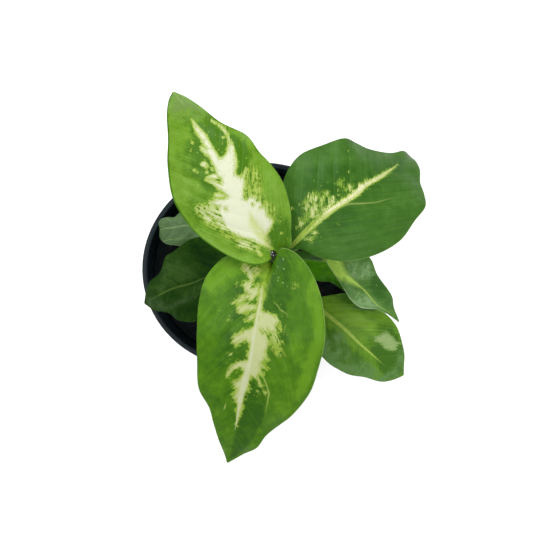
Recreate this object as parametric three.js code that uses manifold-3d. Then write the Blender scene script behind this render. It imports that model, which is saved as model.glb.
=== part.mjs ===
/**
 * A young dieffenbachia in a soft black nursery pot.
 *
 * Millimetres and degrees, +Z up. The origin is the middle of the pot's flat underside.
 *
 * One cane stands in the soil and carries eight leaves in a spiral. Each leaf is one closed solid that runs
 * from a sheath round the cane, through a stalk with a shallow channel, into a blade that is skinned between
 * its midrib and its two waved margins. A thin skin of even depth makes it solid, with the rib standing out
 * underneath.
 */
import * as THREE from 'three';
import { mergeVertices } from 'three/addons/utils/BufferGeometryUtils.js';
import Module from 'manifold-3d';

const wasm = await Module();
wasm.setup();

// ---------------------------------------------------------------------------------------------------------
// Driving dimensions

const CLEARANCE = 0.3; // between pieces that rest against each other

const POT = {
  height: 105,
  rimRadius: 60,
  heelRadius: 42,
  wall: 1.2,
  floor: 2,
  heelChamfer: 1.5,
  lipWidth: 3,
  lipHeight: 4,
  lipRound: 0.8,
  collarHeight: 18, // the straight band from the lip's top down to the step
  collarTaper: 2,
  step: 1.5, // how far the collar stands out of the wall below it
  squeeze: 0.05, // the rim is this share longer one way and shorter the other
  squeezeTurn: 12.4,
  sides: 48,
};

const DRAIN = { count: 8, radius: 3.5, height: 2.5, reach: 8, sides: 12 };

const SOIL = { level: 92, edgeDrop: 1, rings: 8 };

// Waves that add up to the soil's clods
const CLODS = [
  { length: 46, heading: 10, phase: 0.4, height: 0.6 },
  { length: 37, heading: 96, phase: -0.9, height: 0.6 },
  { length: 17, heading: 63, phase: 1.7, height: 0.4 },
  { length: 14, heading: 151, phase: 2.9, height: 0.35 },
];

const CANE = {
  foot: [8.5, 2, 62],
  tip: [13, 5, 152],
  footRadius: 5.6,
  tipRadius: 4.8,
  scar: 0.35, // height of the ring that each leaf leaves
  scarWidth: 1.2,
  scarRows: [-2, -1, 0, 1], // cross sections at a ring, in widths from the leaf's foot
  domeHeight: 4,
  domeTurns: [30, 55, 75], // cross sections of the dome
  sides: 20,
};

const STALK = {
  depth: 0.62, // as a share of its width
  channel: 0.1, // likewise
  edge: 0.8,
  flare: 1.25, // width at the cane, as a share of its width at the blade
};

const SHEATH = {
  depth: 0.35, // as a share of the stalk's width
  edge: 0.8,
  wrap: 62, // degrees to either side
  hold: 0.35, // share of its height that lies close round the cane
};

const BLADE = {
  skin: 0.7,
  ribTip: 0.25, // the rib's depth at the tip, as a share of its depth at the base
  ribLeast: 0.6, // least half width of the rib
  veinLift: 0.35, // how far the blade stands up between two side veins
  puff: 0.05, // how far each half is puffed up, as a share of its width
  fullness: 0.5, // power by which ripples and veins fade towards base and tip
  rippleReach: 3, // power by which ripples fade towards the midrib
  start: 0.06, // share of the midrib that sets the direction in which the stalk ends
};

const FINISH = {
  pot: { color: '#191d1f', roughness: 0.45 },
  soil: { color: '#0f1410', roughness: 0.95 },
  cane: { color: '#5d6b35', roughness: 0.6 },
  leafRoughness: 0.4,
};

// Columns from the midrib to a margin, as shares of the half width
const WIDE_COLUMNS = [0, 0.08, 0.3, 0.54, 0.78, 1];
const NARROW_COLUMNS = [0, 0.12, 0.4, 0.7, 1];

// Points of midrib and margins are [along, left, up] from the blade's base, with "along" towards the heading.
// node: where the sheath starts on the cane, and how high it reaches. stalk: points of its way to the blade.
// sweep: power by which the side veins lean forward on their way to the margin.
const LEAVES = [
  {
    name: 'leaf_upper_left',
    colour: '#6fa032',
    base: [9.7, 5.1, 190.5],
    heading: 121.8,
    node: { height: 143, azimuth: 122, sheath: 18 },
    stalk: [[10.2, 8.2, 158], [10.2, 6.8, 175], [9.9, 5.5, 186]],
    stalkWidth: 4.4,
    cells: 28,
    stalkRows: 10,
    columns: WIDE_COLUMNS,
    veins: 9,
    sweep: 0.72,
    ripple: { waves: 5, height: 0.7, phase: 0.6 },
    midrib: [[0, 0, 0], [7, -1.5, 4.5], [15, -0.5, 9], [26, 0.5, 14], [48.5, -1.5, 19.5], [69, -1.5, 19],
      [83, -1.5, 12.5], [94.5, -0.5, -1.5]],
    left: [[-1, 1, 1], [-1.5, 4.5, 4.5], [0.5, 10, 6.5], [6, 15.5, 7], [18, 22.5, 7.5], [31.5, 27, 8.5],
      [48.5, 27, 10.5], [63, 21, 12.5], [74, 14, 13], [86, 7.5, 8.5], [91.5, 3.5, 3.5], [94.5, -0.1, -1.5]],
    right: [[0.5, -1.5, 1.5], [0, -5, -1], [0, -9.5, -0.5], [5, -13.5, 2.5], [13.5, -18.5, 6.5],
      [27, -22.5, 10.5], [38.5, -22, 13.5], [45.5, -20.5, 15], [55.5, -19.5, 15.5], [68, -12, 14.5],
      [80, -8, 9.5], [89.5, -4, 2.5], [94.5, -0.9, -1.5]],
  },
  {
    name: 'leaf_front',
    colour: '#5f8f27',
    base: [9.5, 1.6, 187],
    heading: 257.7,
    node: { height: 134, azimuth: 258, sheath: 18 },
    stalk: [[11.5, -2.6, 150], [11, -0.8, 170], [9.9, 1.2, 182.5]],
    stalkWidth: 4.6,
    cells: 28,
    stalkRows: 10,
    columns: WIDE_COLUMNS,
    veins: 9,
    sweep: 0.72,
    ripple: { waves: 6, height: 0.8, phase: 2.1 },
    midrib: [[0, 0, 0], [5.5, -0.5, 3], [11, -1.5, 4.5], [33, -1.5, 4], [50, -0.5, -0.5], [70, -1, -10],
      [85, -0.5, -19], [98.5, -0.5, -30], [107.5, -0.5, -38]],
    left: [[-1.5, 1.5, 2], [-4.5, 2.5, 6], [-7, 4, 8.5], [-7.5, 7.5, 8], [-5.5, 12.5, 6], [0, 19, 3.5],
      [9.5, 26, 0.5], [22.5, 31.5, -2], [34, 34, -5], [49, 34, -11], [61.5, 32.5, -16], [74.5, 26.5, -22],
      [81, 21.5, -24.5], [88, 16, -27], [96, 12.5, -31], [101, 6.5, -34], [107.5, -0.1, -38]],
    right: [[0, -1.5, 1], [-1.5, -5.5, 3.5], [-1.5, -12.5, 4.5], [0, -19.5, 4], [3.5, -24.5, 3.5],
      [14, -30.5, 2], [26.5, -31.5, 0.5], [41, -29.5, -2], [56, -26.5, -7], [71, -22.5, -14],
      [79.5, -15.5, -18.5], [87, -12, -22.5], [95.5, -7.5, -28], [104, -2.5, -35], [107.5, -0.9, -38]],
  },
  {
    name: 'leaf_right',
    colour: '#48762f',
    base: [18.3, 8.7, 180],
    heading: 36.8,
    node: { height: 127, azimuth: 37, sheath: 15 },
    stalk: [[19.2, 9.2, 144], [19.6, 9.6, 162], [18.6, 8.9, 175.5]],
    stalkWidth: 4.6,
    cells: 28,
    stalkRows: 10,
    columns: WIDE_COLUMNS,
    veins: 8,
    sweep: 0.72,
    ripple: { waves: 5, height: 0.8, phase: 4.2 },
    midrib: [[0, 0, 0], [9, 1.5, 4], [17.5, 2.5, 6.5], [26.5, 2, 8], [36.5, 2, 6.5], [46.5, 2, 2.5],
      [57, 1.5, -4.5], [69.5, 1, -17], [77.5, 0.5, -28], [80.5, 0.5, -35]],
    left: [[0, 1.5, 0.5], [2, 8.5, 3], [6, 16, 4.5], [12, 23.5, 6], [18.5, 29.5, 7], [24.5, 32.5, 7],
      [32, 34, 5.5], [43.5, 31.5, 2.5], [55.5, 27.5, -4], [59, 22.5, -8], [63, 16, -13], [72, 8, -22],
      [78.5, 5, -28.5], [80.5, 0.9, -35]],
    right: [[0.5, -1.5, 0], [4, -4, 2], [8.5, -12, 2], [17.5, -21.5, -0.5], [32, -28.5, -4.5],
      [48, -30.5, -10], [60, -27, -14], [69, -24.5, -16.5], [72.5, -19, -19.5], [74.5, -13.5, -22],
      [79, -8, -25.5], [80.5, -3, -30], [80.5, 0.1, -35]],
  },
  {
    name: 'leaf_lower_left',
    colour: '#2b4a1d',
    base: [-7.6, -0.3, 140],
    heading: 201.7,
    node: { height: 119, azimuth: 187, sheath: 10 },
    stalk: [[2.6, 2.4, 128], [-2.4, 1, 135.5]],
    stalkWidth: 3.8,
    cells: 20,
    stalkRows: 8,
    columns: NARROW_COLUMNS,
    veins: 7,
    sweep: 0.75,
    ripple: { waves: 4, height: 0.7, phase: 1.3 },
    midrib: [[0, 0, 0], [10, -0.5, 2], [20.5, -1, 0], [28.5, -1, -3.5], [36, -2, -8.5], [43.5, -2, -14],
      [49, -1.5, -19], [57, -0.5, -27.5]],
    left: [[0, 1.5, -0.5], [7, 7, -1], [18.5, 14, -4], [27.5, 18, -7], [33, 19, -9.5], [38.5, 17, -12],
      [42.5, 14.5, -14], [45, 10, -16.5], [48.5, 7.5, -19.5], [52.5, 5.5, -22.5], [57, -0.1, -27.5]],
    right: [[0, -1.5, 0.5], [2, -9.5, 1.5], [7.5, -17.5, 0.5], [13.5, -22, -1.5], [20.5, -23, -4],
      [30, -20.5, -8.5], [35.5, -19.5, -12], [40.5, -14, -14.5], [43.5, -12, -16.5], [49, -10.5, -21],
      [53, -7, -24], [57, -0.9, -27.5]],
  },
  {
    name: 'leaf_small_left',
    colour: '#5c7c56',
    base: [-13.8, 20.9, 104],
    heading: 188.7,
    node: { height: 98.5, azimuth: 139, sheath: 6 },
    stalk: [[3.4, 12, 102.2], [-4.5, 17.5, 103]],
    stalkWidth: 3,
    cells: 16,
    stalkRows: 8,
    columns: NARROW_COLUMNS,
    veins: 5,
    sweep: 0.78,
    ripple: { waves: 3, height: 0.4, phase: 0.2 },
    midrib: [[0, 0, 0], [11, -2.5, 3.5], [24.5, -5, 5], [32, -5, 4.5], [37, -5, 3], [39, -4.5, 0.5],
      [38, -4, -3]],
    left: [[-0.5, 1.5, -0.5], [5.5, 6.5, 2], [15.5, 8.5, 3.5], [23.5, 7.5, 3.5], [30, 5.5, 3], [35, 4, 3],
      [37, 3, 2.5], [39.5, -0.5, 1], [39.5, -2.5, -0.5], [38, -3.6, -3]],
    right: [[1, -2, 0.5], [5.5, -7.5, 3.5], [13.5, -12, 4.5], [20.5, -13, 4], [26, -12.5, 3.5],
      [29.5, -10.5, 3], [33, -11, 3.5], [37, -10.5, 3.5], [39, -8, 1.5], [38, -4.4, -3]],
  },
  {
    name: 'leaf_lower_right',
    colour: '#4f7a39',
    base: [38.7, 2.8, 150],
    heading: 318,
    node: { height: 112, azimuth: 6, sheath: 10 },
    stalk: [[23, 5.6, 124], [28.5, 5.8, 137], [34, 4.6, 146]],
    stalkWidth: 3.6,
    cells: 18,
    stalkRows: 8,
    columns: NARROW_COLUMNS,
    veins: 6,
    sweep: 0.75,
    ripple: { waves: 4, height: 0.5, phase: 3.4 },
    midrib: [[0, 0, 0], [10, -0.5, 2.5], [17, 0.5, 1.5], [24, 1, -1.5], [30.5, 0.5, -5.5], [36.5, 0, -10],
      [42.5, 1.5, -15.5], [51.5, 1.5, -22.5]],
    left: [[0, 1.5, 0.5], [1, 6.5, 1.5], [5, 11.5, 1], [10.5, 15, -0.5], [16.5, 15.5, -2.5],
      [24, 12, -5.5], [28.5, 11, -7.5], [34.5, 10, -10.5], [39.5, 8.5, -14], [43.5, 5.5, -17],
      [51.5, 1.9, -22.5]],
    right: [[0, -1.5, 0], [4, -2.5, 2], [11.5, -4.5, 3], [19, -6.5, 1], [24, -7.5, -2], [29.5, -7, -5],
      [34, -4, -8.5], [37.5, -1.5, -12], [41, -0.5, -15], [44.5, 0.5, -18.5], [51.5, 1.1, -22.5]],
  },
  {
    name: 'leaf_bottom_right',
    colour: '#4f7a2c',
    base: [30.6, -19.8, 125],
    heading: 322,
    node: { height: 96.5, azimuth: 300, sheath: 5 },
    stalk: [[18.8, -6.8, 101.5], [24, -12.5, 110], [28, -17, 119.5]],
    stalkWidth: 3.6,
    cells: 20,
    stalkRows: 8,
    columns: NARROW_COLUMNS,
    veins: 7,
    sweep: 0.75,
    ripple: { waves: 4, height: 0.6, phase: 5.1 },
    midrib: [[0, 0, 0], [9, 0, 1.5], [17, 0, 2], [25.5, -0.5, 1], [34, -1.5, -1.5], [43, -2, -5.5],
      [51, -2.5, -9.5], [59, -2.5, -14.5], [66.5, -0.5, -19.5]],
    left: [[0, 1.5, 0.5], [3, 6, 2], [8, 11.5, 2.5], [12.5, 16, 2], [20, 19.5, 0.5], [26.5, 20, -1],
      [36.5, 20, -3.5], [41, 19.5, -5], [46, 18, -7], [52, 14.5, -10], [59, 9, -14], [63.5, 3.5, -17.5],
      [66.5, -0.1, -19.5]],
    right: [[0.5, -2, -0.5], [5, -8.5, -1], [12, -15, -2.5], [18.5, -19, -4], [24, -20, -5.5],
      [29.5, -20.5, -7], [34.5, -20, -8.5], [42, -18.5, -11], [49.5, -14.5, -13.5], [58.5, -11, -16.5],
      [63, -6.5, -18], [66.5, -0.9, -19.5]],
  },
  {
    name: 'leaf_small_right',
    colour: '#3f6a1c',
    base: [24.9, 1.3, 116],
    heading: 336,
    node: { height: 104, azimuth: 318, sheath: 5 },
    stalk: [[20.2, -0.6, 108.5], [22.8, 0.6, 112.5]],
    stalkWidth: 3,
    cells: 16,
    stalkRows: 8,
    columns: NARROW_COLUMNS,
    veins: 5,
    sweep: 0.78,
    ripple: { waves: 3, height: 0.3, phase: 2.6 },
    midrib: [[0, 0, 0], [7, 0, 2.5], [15.5, 0, 3], [24, 0, 0.5], [31.5, 0, -3], [36.5, 0, -6.5]],
    left: [[0, 1.5, 0.5], [4, 4.5, 2.5], [10, 6.5, 3], [20, 6.5, 1], [28.5, 4, -2.5], [36.5, 0.4, -6.5]],
    right: [[0, -1.5, -0.5], [5, -5, 1], [9.5, -5.5, 2], [14.5, -4.5, 2], [19, -3, 1], [25, -3.5, -1.5],
      [29.5, -4, -3.5], [33.5, -2.5, -5.5], [36.5, -0.4, -6.5]],
  },
];

// ---------------------------------------------------------------------------------------------------------
// Small helpers

const radians = THREE.MathUtils.degToRad;
const lerp = THREE.MathUtils.lerp;
const smoothstep = THREE.MathUtils.smoothstep;

/** Unit vector in the ground plane at an azimuth in degrees. */
function compass(azimuth) {
  return new THREE.Vector3(Math.cos(radians(azimuth)), Math.sin(radians(azimuth)), 0);
}

/** A geometry from points and triangles that share them. */
function meshOf(points, triangles) {
  const geometry = new THREE.BufferGeometry();
  const numbers = points.flatMap((point) => [point.x, point.y, point.z]);
  geometry.setAttribute('position', new THREE.Float32BufferAttribute(numbers, 3));
  geometry.setIndex(triangles);
  return geometry;
}

/** Merges equal vertices of a geometry and drops the triangles that this closes to nothing. */
function welded(geometry) {
  geometry.deleteAttribute('normal');
  geometry.deleteAttribute('uv');
  const merged = mergeVertices(geometry, 1e-3);
  const index = merged.getIndex().array;
  const kept = [];
  for (let i = 0; i < index.length; i += 3) {
    const [a, b, c] = [index[i], index[i + 1], index[i + 2]];
    if (a !== b && b !== c && c !== a) {
      kept.push(a, b, c);
    }
  }
  merged.setIndex(kept);
  return merged;
}

function toSolid(geometry) {
  return new wasm.Manifold(new wasm.Mesh({
    numProp: 3,
    vertProperties: new Float32Array(geometry.getAttribute('position').array),
    triVerts: new Uint32Array(geometry.getIndex().array),
  }));
}

function fromSolid(solid) {
  const mesh = solid.getMesh();
  const geometry = new THREE.BufferGeometry();
  geometry.setAttribute('position', new THREE.BufferAttribute(new Float32Array(mesh.vertProperties), 3));
  geometry.setIndex(new THREE.BufferAttribute(new Uint32Array(mesh.triVerts), 1));
  return geometry;
}

/** Turns a profile of [radius, height] pairs, which starts and ends on the axis, about +Z. */
function turned(profile, sides) {
  const points = profile.map(([radius, height]) => new THREE.Vector2(radius, height));
  const geometry = new THREE.LatheGeometry(points, sides);
  geometry.rotateX(Math.PI / 2);
  return welded(geometry);
}

/** Moves each vertex of a geometry by a function that changes the point it is given. */
function reshape(geometry, change) {
  const position = geometry.getAttribute('position');
  const point = new THREE.Vector3();
  for (let i = 0; i < position.count; i += 1) {
    point.fromBufferAttribute(position, i);
    change(point);
    position.setXYZ(i, point.x, point.y, point.z);
  }
  return geometry;
}

// ---------------------------------------------------------------------------------------------------------
// Pot and soil

const stepHeight = POT.height - POT.collarHeight;
const collarTop = POT.rimRadius - POT.collarTaper;
const collarFoot = collarTop - POT.collarTaper;
const lipFoot = POT.height - POT.lipHeight;

/** Inner face of the pot from the floor up to the lip, as [radius, height] pairs. */
const innerWall = [
  [POT.heelRadius - POT.wall - POT.heelChamfer / 2, POT.floor],
  [POT.heelRadius - POT.wall, POT.floor + POT.heelChamfer / 2],
  [collarFoot - POT.step - POT.wall, stepHeight - POT.step],
  [collarFoot - POT.wall, stepHeight],
  [POT.rimRadius - POT.lipWidth, POT.height - POT.lipRound],
];

const outerWall = [
  [POT.heelRadius - POT.heelChamfer, 0],
  [POT.heelRadius, POT.heelChamfer],
  [collarFoot - POT.step, stepHeight - POT.step],
  [collarFoot, stepHeight],
  [collarTop, lipFoot],
  [POT.rimRadius - POT.lipRound, lipFoot],
  [POT.rimRadius, lipFoot + POT.lipRound],
  [POT.rimRadius, POT.height - POT.lipRound],
  [POT.rimRadius - POT.lipRound, POT.height],
  [POT.rimRadius - POT.lipWidth + POT.lipRound, POT.height],
];

/** Presses a round shape oval, most at the rim and not at all at the floor. */
function squeeze(point) {
  const turn = Math.atan2(point.y, point.x) - radians(POT.squeezeTurn);
  const share = POT.squeeze * (point.z / POT.height) ** 2;
  const scale = 1 + share * Math.cos(2 * turn);
  point.x *= scale;
  point.y *= scale;
}

function potSolid() {
  const profile = [[0, 0], ...outerWall, ...innerWall.toReversed(), [0, POT.floor]];
  let solid = toSolid(turned(profile, POT.sides));
  for (let i = 0; i < DRAIN.count; i += 1) {
    const azimuth = (360 / DRAIN.count) * (i + 0.5);
    const hole = new THREE.CylinderGeometry(DRAIN.radius, DRAIN.radius, 2 * DRAIN.reach, DRAIN.sides);
    hole.rotateZ(Math.PI / 2);
    hole.translate(POT.heelRadius, 0, DRAIN.height);
    hole.rotateZ(radians(azimuth));
    solid = solid.subtract(toSolid(welded(hole)));
  }
  return reshape(fromSolid(solid), squeeze);
}

/** Radius of the pot's inner face at a height. */
function innerRadius(height) {
  const above = innerWall.findIndex(([, top]) => top >= height);
  const [lowRadius, low] = innerWall[above - 1];
  const [highRadius, high] = innerWall[above];
  return lerp(lowRadius, highRadius, (height - low) / (high - low));
}

/** Height of the clods above or below the soil's level at a point. */
function clods(point) {
  return CLODS.reduce((sum, { length, heading, phase, height }) => {
    const away = point.dot(compass(heading));
    return sum + height * Math.sin((2 * Math.PI * away) / length + phase);
  }, 0);
}

function soilSolid(caneHole) {
  const edge = SOIL.level - SOIL.edgeDrop;
  const side = [...innerWall.filter(([, height]) => height < edge), [innerRadius(edge), edge]];
  const profile = [[0, POT.floor + CLEARANCE]];
  for (const [radius, height] of side) {
    profile.push([radius - CLEARANCE, height + CLEARANCE]);
  }
  const rim = profile.at(-1)[0];
  for (let i = 1; i <= SOIL.rings; i += 1) {
    profile.push([rim * (1 - i / SOIL.rings), SOIL.level]);
  }
  const geometry = reshape(turned(profile, POT.sides), (point) => {
    if (point.z > edge + 2 * CLEARANCE) {
      point.z += clods(point);
    }
    squeeze(point);
  });
  return fromSolid(toSolid(geometry).subtract(toSolid(caneHole)));
}

// ---------------------------------------------------------------------------------------------------------
// Cane

const caneFoot = new THREE.Vector3(...CANE.foot);
const caneTip = new THREE.Vector3(...CANE.tip);

/** Middle of the cane at a height. Above its tip the line runs on. */
function caneMiddle(height) {
  const share = (height - caneFoot.z) / (caneTip.z - caneFoot.z);
  return caneFoot.clone().lerp(caneTip, share).setZ(height);
}

/** Radius of the cane between its rings at a height. */
function plainRadius(height) {
  const share = THREE.MathUtils.clamp((height - caneFoot.z) / (caneTip.z - caneFoot.z), 0, 1);
  return lerp(CANE.footRadius, CANE.tipRadius, share);
}

/** Radius of the cane at a height, with a ring just under each leaf. */
function caneRadius(height) {
  let radius = plainRadius(height);
  for (const { node } of LEAVES) {
    const away = (height - node.height + CANE.scarWidth) / CANE.scarWidth;
    radius += CANE.scar * Math.exp(-away * away);
  }
  return radius;
}

/** Heights of the cane's cross sections: closer at each leaf's ring. */
function caneHeights() {
  const heights = [caneFoot.z, SOIL.level];
  for (const { node } of LEAVES) {
    heights.push(...CANE.scarRows.map((row) => node.height + row * CANE.scarWidth));
  }
  heights.push(caneTip.z - CANE.domeHeight);
  heights.sort((a, b) => a - b);
  return heights.filter((height, i) => i === 0 || height - heights[i - 1] > CANE.scarWidth / 2);
}

/** The cane, or the hole it stands in when it is grown by a gap. */
function caneSolid(gap) {
  const top = caneTip.z - CANE.domeHeight;
  const sections = caneHeights().map((height) => [height, caneRadius(height) + gap]);
  sections[0][0] -= gap;
  for (const turn of CANE.domeTurns) {
    const height = top + CANE.domeHeight * Math.sin(radians(turn));
    sections.push([height, caneRadius(height) * Math.cos(radians(turn)) + gap]);
  }
  const points = [];
  for (const [height, radius] of sections) {
    const middle = caneMiddle(height);
    for (let i = 0; i < CANE.sides; i += 1) {
      points.push(middle.clone().addScaledVector(compass((360 * i) / CANE.sides), radius));
    }
  }
  const triangles = [];
  for (let row = 0; row < sections.length - 1; row += 1) {
    for (let i = 0; i < CANE.sides; i += 1) {
      const next = (i + 1) % CANE.sides;
      const [a, b] = [row * CANE.sides + i, row * CANE.sides + next];
      const [c, d] = [a + CANE.sides, b + CANE.sides];
      triangles.push(a, b, d, a, d, c);
    }
  }
  const last = (sections.length - 1) * CANE.sides;
  const footMiddle = points.push(caneMiddle(sections[0][0])) - 1;
  const tipMiddle = points.push(caneMiddle(caneTip.z + gap)) - 1;
  for (let i = 0; i < CANE.sides; i += 1) {
    const next = (i + 1) % CANE.sides;
    triangles.push(footMiddle, next, i);
    triangles.push(tipMiddle, last + i, last + next);
  }
  return meshOf(points, triangles);
}

// ---------------------------------------------------------------------------------------------------------
// Leaves

/** A smooth curve through [along, left, up] points of a leaf. */
function leafCurve(leaf, points) {
  const along = compass(leaf.heading);
  const left = compass(leaf.heading + 90);
  const placed = points.map(([a, l, up]) => new THREE.Vector3(...leaf.base)
    .addScaledVector(along, a)
    .addScaledVector(left, l)
    .add(new THREE.Vector3(0, 0, up)));
  return new THREE.CatmullRomCurve3(placed);
}

/** Signed columns from the left margin (1) over the midrib (0) to the right margin (-1). */
function columnsOf(leaf) {
  const right = leaf.columns.slice(1).map((share) => -share);
  return [...leaf.columns.toReversed(), ...right];
}

/** Top points of the blade's rows, from its base to its tip. */
function bladeRows(leaf) {
  const midrib = leafCurve(leaf, leaf.midrib);
  const margins = { left: leafCurve(leaf, leaf.left), right: leafCurve(leaf, leaf.right) };
  const rows = [];
  for (let i = 0; i <= leaf.cells; i += 1) {
    const share = i / leaf.cells;
    const rib = midrib.getPointAt(share);
    const row = columnsOf(leaf).map((column) => {
      const out = Math.abs(column);
      const margin = column > 0 ? margins.left : margins.right;
      const reach = share + (share ** leaf.sweep - share) * out;
      const edge = margin.getPointAt(reach);
      const width = edge.distanceTo(rib);
      const point = rib.clone().lerp(edge, out);
      const bulge = Math.sin(Math.PI * out);
      const { waves, height, phase } = leaf.ripple;
      const wave = Math.sin(2 * Math.PI * waves * share + phase + column);
      const ripple = height * wave * out ** BLADE.rippleReach;
      const pleat = BLADE.veinLift * bulge * Math.abs(Math.sin(Math.PI * leaf.veins * share));
      const fade = Math.sin(Math.PI * share) ** BLADE.fullness;
      point.z += fade * (ripple + pleat) + BLADE.puff * width * bulge;
      return point;
    });
    rows.push(row);
  }
  return rows;
}

/** Shares across the stalk that go with the blade's columns: even steps. */
function stalkShares(leaf) {
  const steps = leaf.columns.length - 1;
  return Array.from({ length: 2 * steps + 1 }, (_, i) => 1 - i / steps);
}

/** Top points of the sheath's and stalk's rows, from the cane to just short of the blade. */
function stalkRows(leaf) {
  const { height, azimuth, sheath } = leaf.node;
  const gap = CANE.scar + CLEARANCE;
  const [foot, held] = [height, height + sheath / 2].map((at) => (
    caneMiddle(at).addScaledVector(compass(azimuth), plainRadius(at) + gap)
  ));
  const route = [foot, held, ...leaf.stalk.map((point) => new THREE.Vector3(...point))];
  const midrib = leafCurve(leaf, leaf.midrib);
  const spine = new THREE.CatmullRomCurve3([...route, midrib.getPointAt(0), midrib.getPointAt(BLADE.start)]);
  const end = route.length / (route.length + 1);
  return Array.from({ length: leaf.stalkRows }, (_, i) => {
    const share = i / leaf.stalkRows;
    const middle = spine.getPoint(end * share);
    const tangent = spine.getTangent(end * share);
    const across = compass(lerp(azimuth, nearestTurn(leaf.heading, azimuth), share) + 90);
    across.addScaledVector(tangent, -across.dot(tangent)).normalize();
    const inner = new THREE.Vector3().crossVectors(tangent, across);
    const clasp = 1 - smoothstep(middle.z, height + sheath * SHEATH.hold, height + sheath);
    const width = leaf.stalkWidth * lerp(STALK.flare, 1, share);
    const points = stalkShares(leaf).map((side) => {
      const free = middle.clone()
        .addScaledVector(across, (side * width) / 2)
        .addScaledVector(inner, -STALK.channel * width * (1 - side * side));
      const clasped = caneMiddle(middle.z)
        .addScaledVector(compass(azimuth + side * SHEATH.wrap), plainRadius(middle.z) + gap);
      return free.lerp(clasped, clasp);
    });
    return { points, clasp, width };
  });
}

/** The turn equal to a heading that lies within half a circle of another. */
function nearestTurn(heading, other) {
  return other + THREE.MathUtils.euclideanModulo(heading - other + 180, 360) - 180;
}

/** Normal of a grid of points, on the side that faces up on the blade and towards the cane on the stalk. */
function gridNormal(grid, row, column) {
  const above = grid[Math.min(row + 1, grid.length - 1)][column];
  const below = grid[Math.max(row - 1, 0)][column];
  const left = grid[row][Math.max(column - 1, 0)];
  const right = grid[row][Math.min(column + 1, grid[row].length - 1)];
  const along = new THREE.Vector3().subVectors(above, below);
  const across = new THREE.Vector3().subVectors(right, left);
  return across.cross(along).normalize();
}

/** Thickness of the leaf under each top point. */
function depths(leaf, stalk, blade) {
  const shares = stalkShares(leaf);
  const middle = leaf.columns.length - 1;
  const rows = stalk.map(({ clasp, width }) => shares.map((share) => {
    const round = Math.sqrt(1 - share * share);
    const free = STALK.edge + STALK.depth * width * round;
    const clasped = SHEATH.edge + SHEATH.depth * width * round;
    return lerp(free, clasped, clasp);
  }));
  for (const [i, row] of blade.entries()) {
    const left = 1 - i / (blade.length - 1);
    const strength = lerp(BLADE.ribTip, 1, left * left);
    const ribDepth = STALK.depth * leaf.stalkWidth * strength;
    const ribHalf = Math.max((leaf.stalkWidth / 2) * strength, BLADE.ribLeast);
    rows.push(row.map((point) => {
      const away = point.distanceTo(row[middle]) / ribHalf;
      const under = away < 1 ? ribDepth * Math.sqrt(1 - away * away) : 0;
      return BLADE.skin + under;
    }));
  }
  return rows;
}

function leafSolid(leaf) {
  const stalk = stalkRows(leaf);
  const blade = bladeRows(leaf);
  const grid = [...stalk.map((row) => row.points), ...blade];
  const depth = depths(leaf, stalk, blade);
  const width = grid[0].length;
  const tops = grid.flat();
  const unders = grid.flatMap((row, i) => row.map((point, j) => (
    point.clone().addScaledVector(gridNormal(grid, i, j), -depth[i][j])
  )));
  const under = tops.length;
  const triangles = [];
  for (let i = 0; i < grid.length - 1; i += 1) {
    for (let j = 0; j < width - 1; j += 1) {
      const [a, b] = [i * width + j, i * width + j + 1];
      const [c, d] = [a + width, b + width];
      triangles.push(a, b, d, a, d, c);
      triangles.push(under + a, under + d, under + b, under + a, under + c, under + d);
    }
    const [left, right] = [i * width, i * width + width - 1];
    triangles.push(left, left + width, under + left + width, left, under + left + width, under + left);
    triangles.push(right, under + right, under + right + width, right, under + right + width, right + width);
  }
  const last = (grid.length - 1) * width;
  for (let j = 0; j < width - 1; j += 1) {
    triangles.push(j, under + j, under + j + 1, j, under + j + 1, j + 1);
    const k = last + j;
    triangles.push(k, k + 1, under + k + 1, k, under + k + 1, under + k);
  }
  return meshOf([...tops, ...unders], triangles);
}

// ---------------------------------------------------------------------------------------------------------
// The plant in its pot

const plant = new THREE.Group();

function place(name, geometry, finish) {
  const mesh = new THREE.Mesh(geometry, new THREE.MeshStandardMaterial({ ...finish, metalness: 0 }));
  mesh.name = name;
  plant.add(mesh);
}

place('pot', potSolid(), FINISH.pot);
place('soil', soilSolid(caneSolid(CLEARANCE)), FINISH.soil);
place('stem', caneSolid(0), FINISH.cane);
for (const leaf of LEAVES) {
  place(leaf.name, leafSolid(leaf), { color: leaf.colour, roughness: FINISH.leafRoughness });
}

export default plant;
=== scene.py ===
"""A young dieffenbachia in a soft black nursery pot, seen from straight above in a soft studio light.

Meshes are in metres. Sizes in the classes below are millimetres and degrees, and MM turns them into metres.
Every leaf is one sheet of points that runs from its sheath on the cane through the stalk into the blade. The
sheet follows the same curves as the leaf's solid, only finer, and is then given its thickness.
"""
import logging
import math
from collections.abc import Iterator
from contextlib import contextmanager
from dataclasses import dataclass
from enum import Enum

import bpy
import numpy as np
from bpy.types import ID, Material, Mesh, Node, NodeSocket, NodeTree, Object
from mathutils import Matrix, Vector, noise


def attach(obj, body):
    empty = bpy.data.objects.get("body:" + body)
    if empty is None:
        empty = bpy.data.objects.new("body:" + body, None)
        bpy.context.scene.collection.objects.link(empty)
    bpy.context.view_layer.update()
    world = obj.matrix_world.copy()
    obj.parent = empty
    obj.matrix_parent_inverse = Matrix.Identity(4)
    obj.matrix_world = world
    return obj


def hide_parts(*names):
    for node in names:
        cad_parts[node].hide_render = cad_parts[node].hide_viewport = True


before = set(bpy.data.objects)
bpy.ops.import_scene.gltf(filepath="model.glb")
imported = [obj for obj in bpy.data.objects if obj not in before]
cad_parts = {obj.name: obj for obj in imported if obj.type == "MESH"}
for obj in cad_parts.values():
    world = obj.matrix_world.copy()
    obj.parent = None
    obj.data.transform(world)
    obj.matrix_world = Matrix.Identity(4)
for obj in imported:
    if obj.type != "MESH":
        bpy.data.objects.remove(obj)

LOG = logging.getLogger("dieffenbachia")
MM = 0.001
TINY = 1e-9
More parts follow.
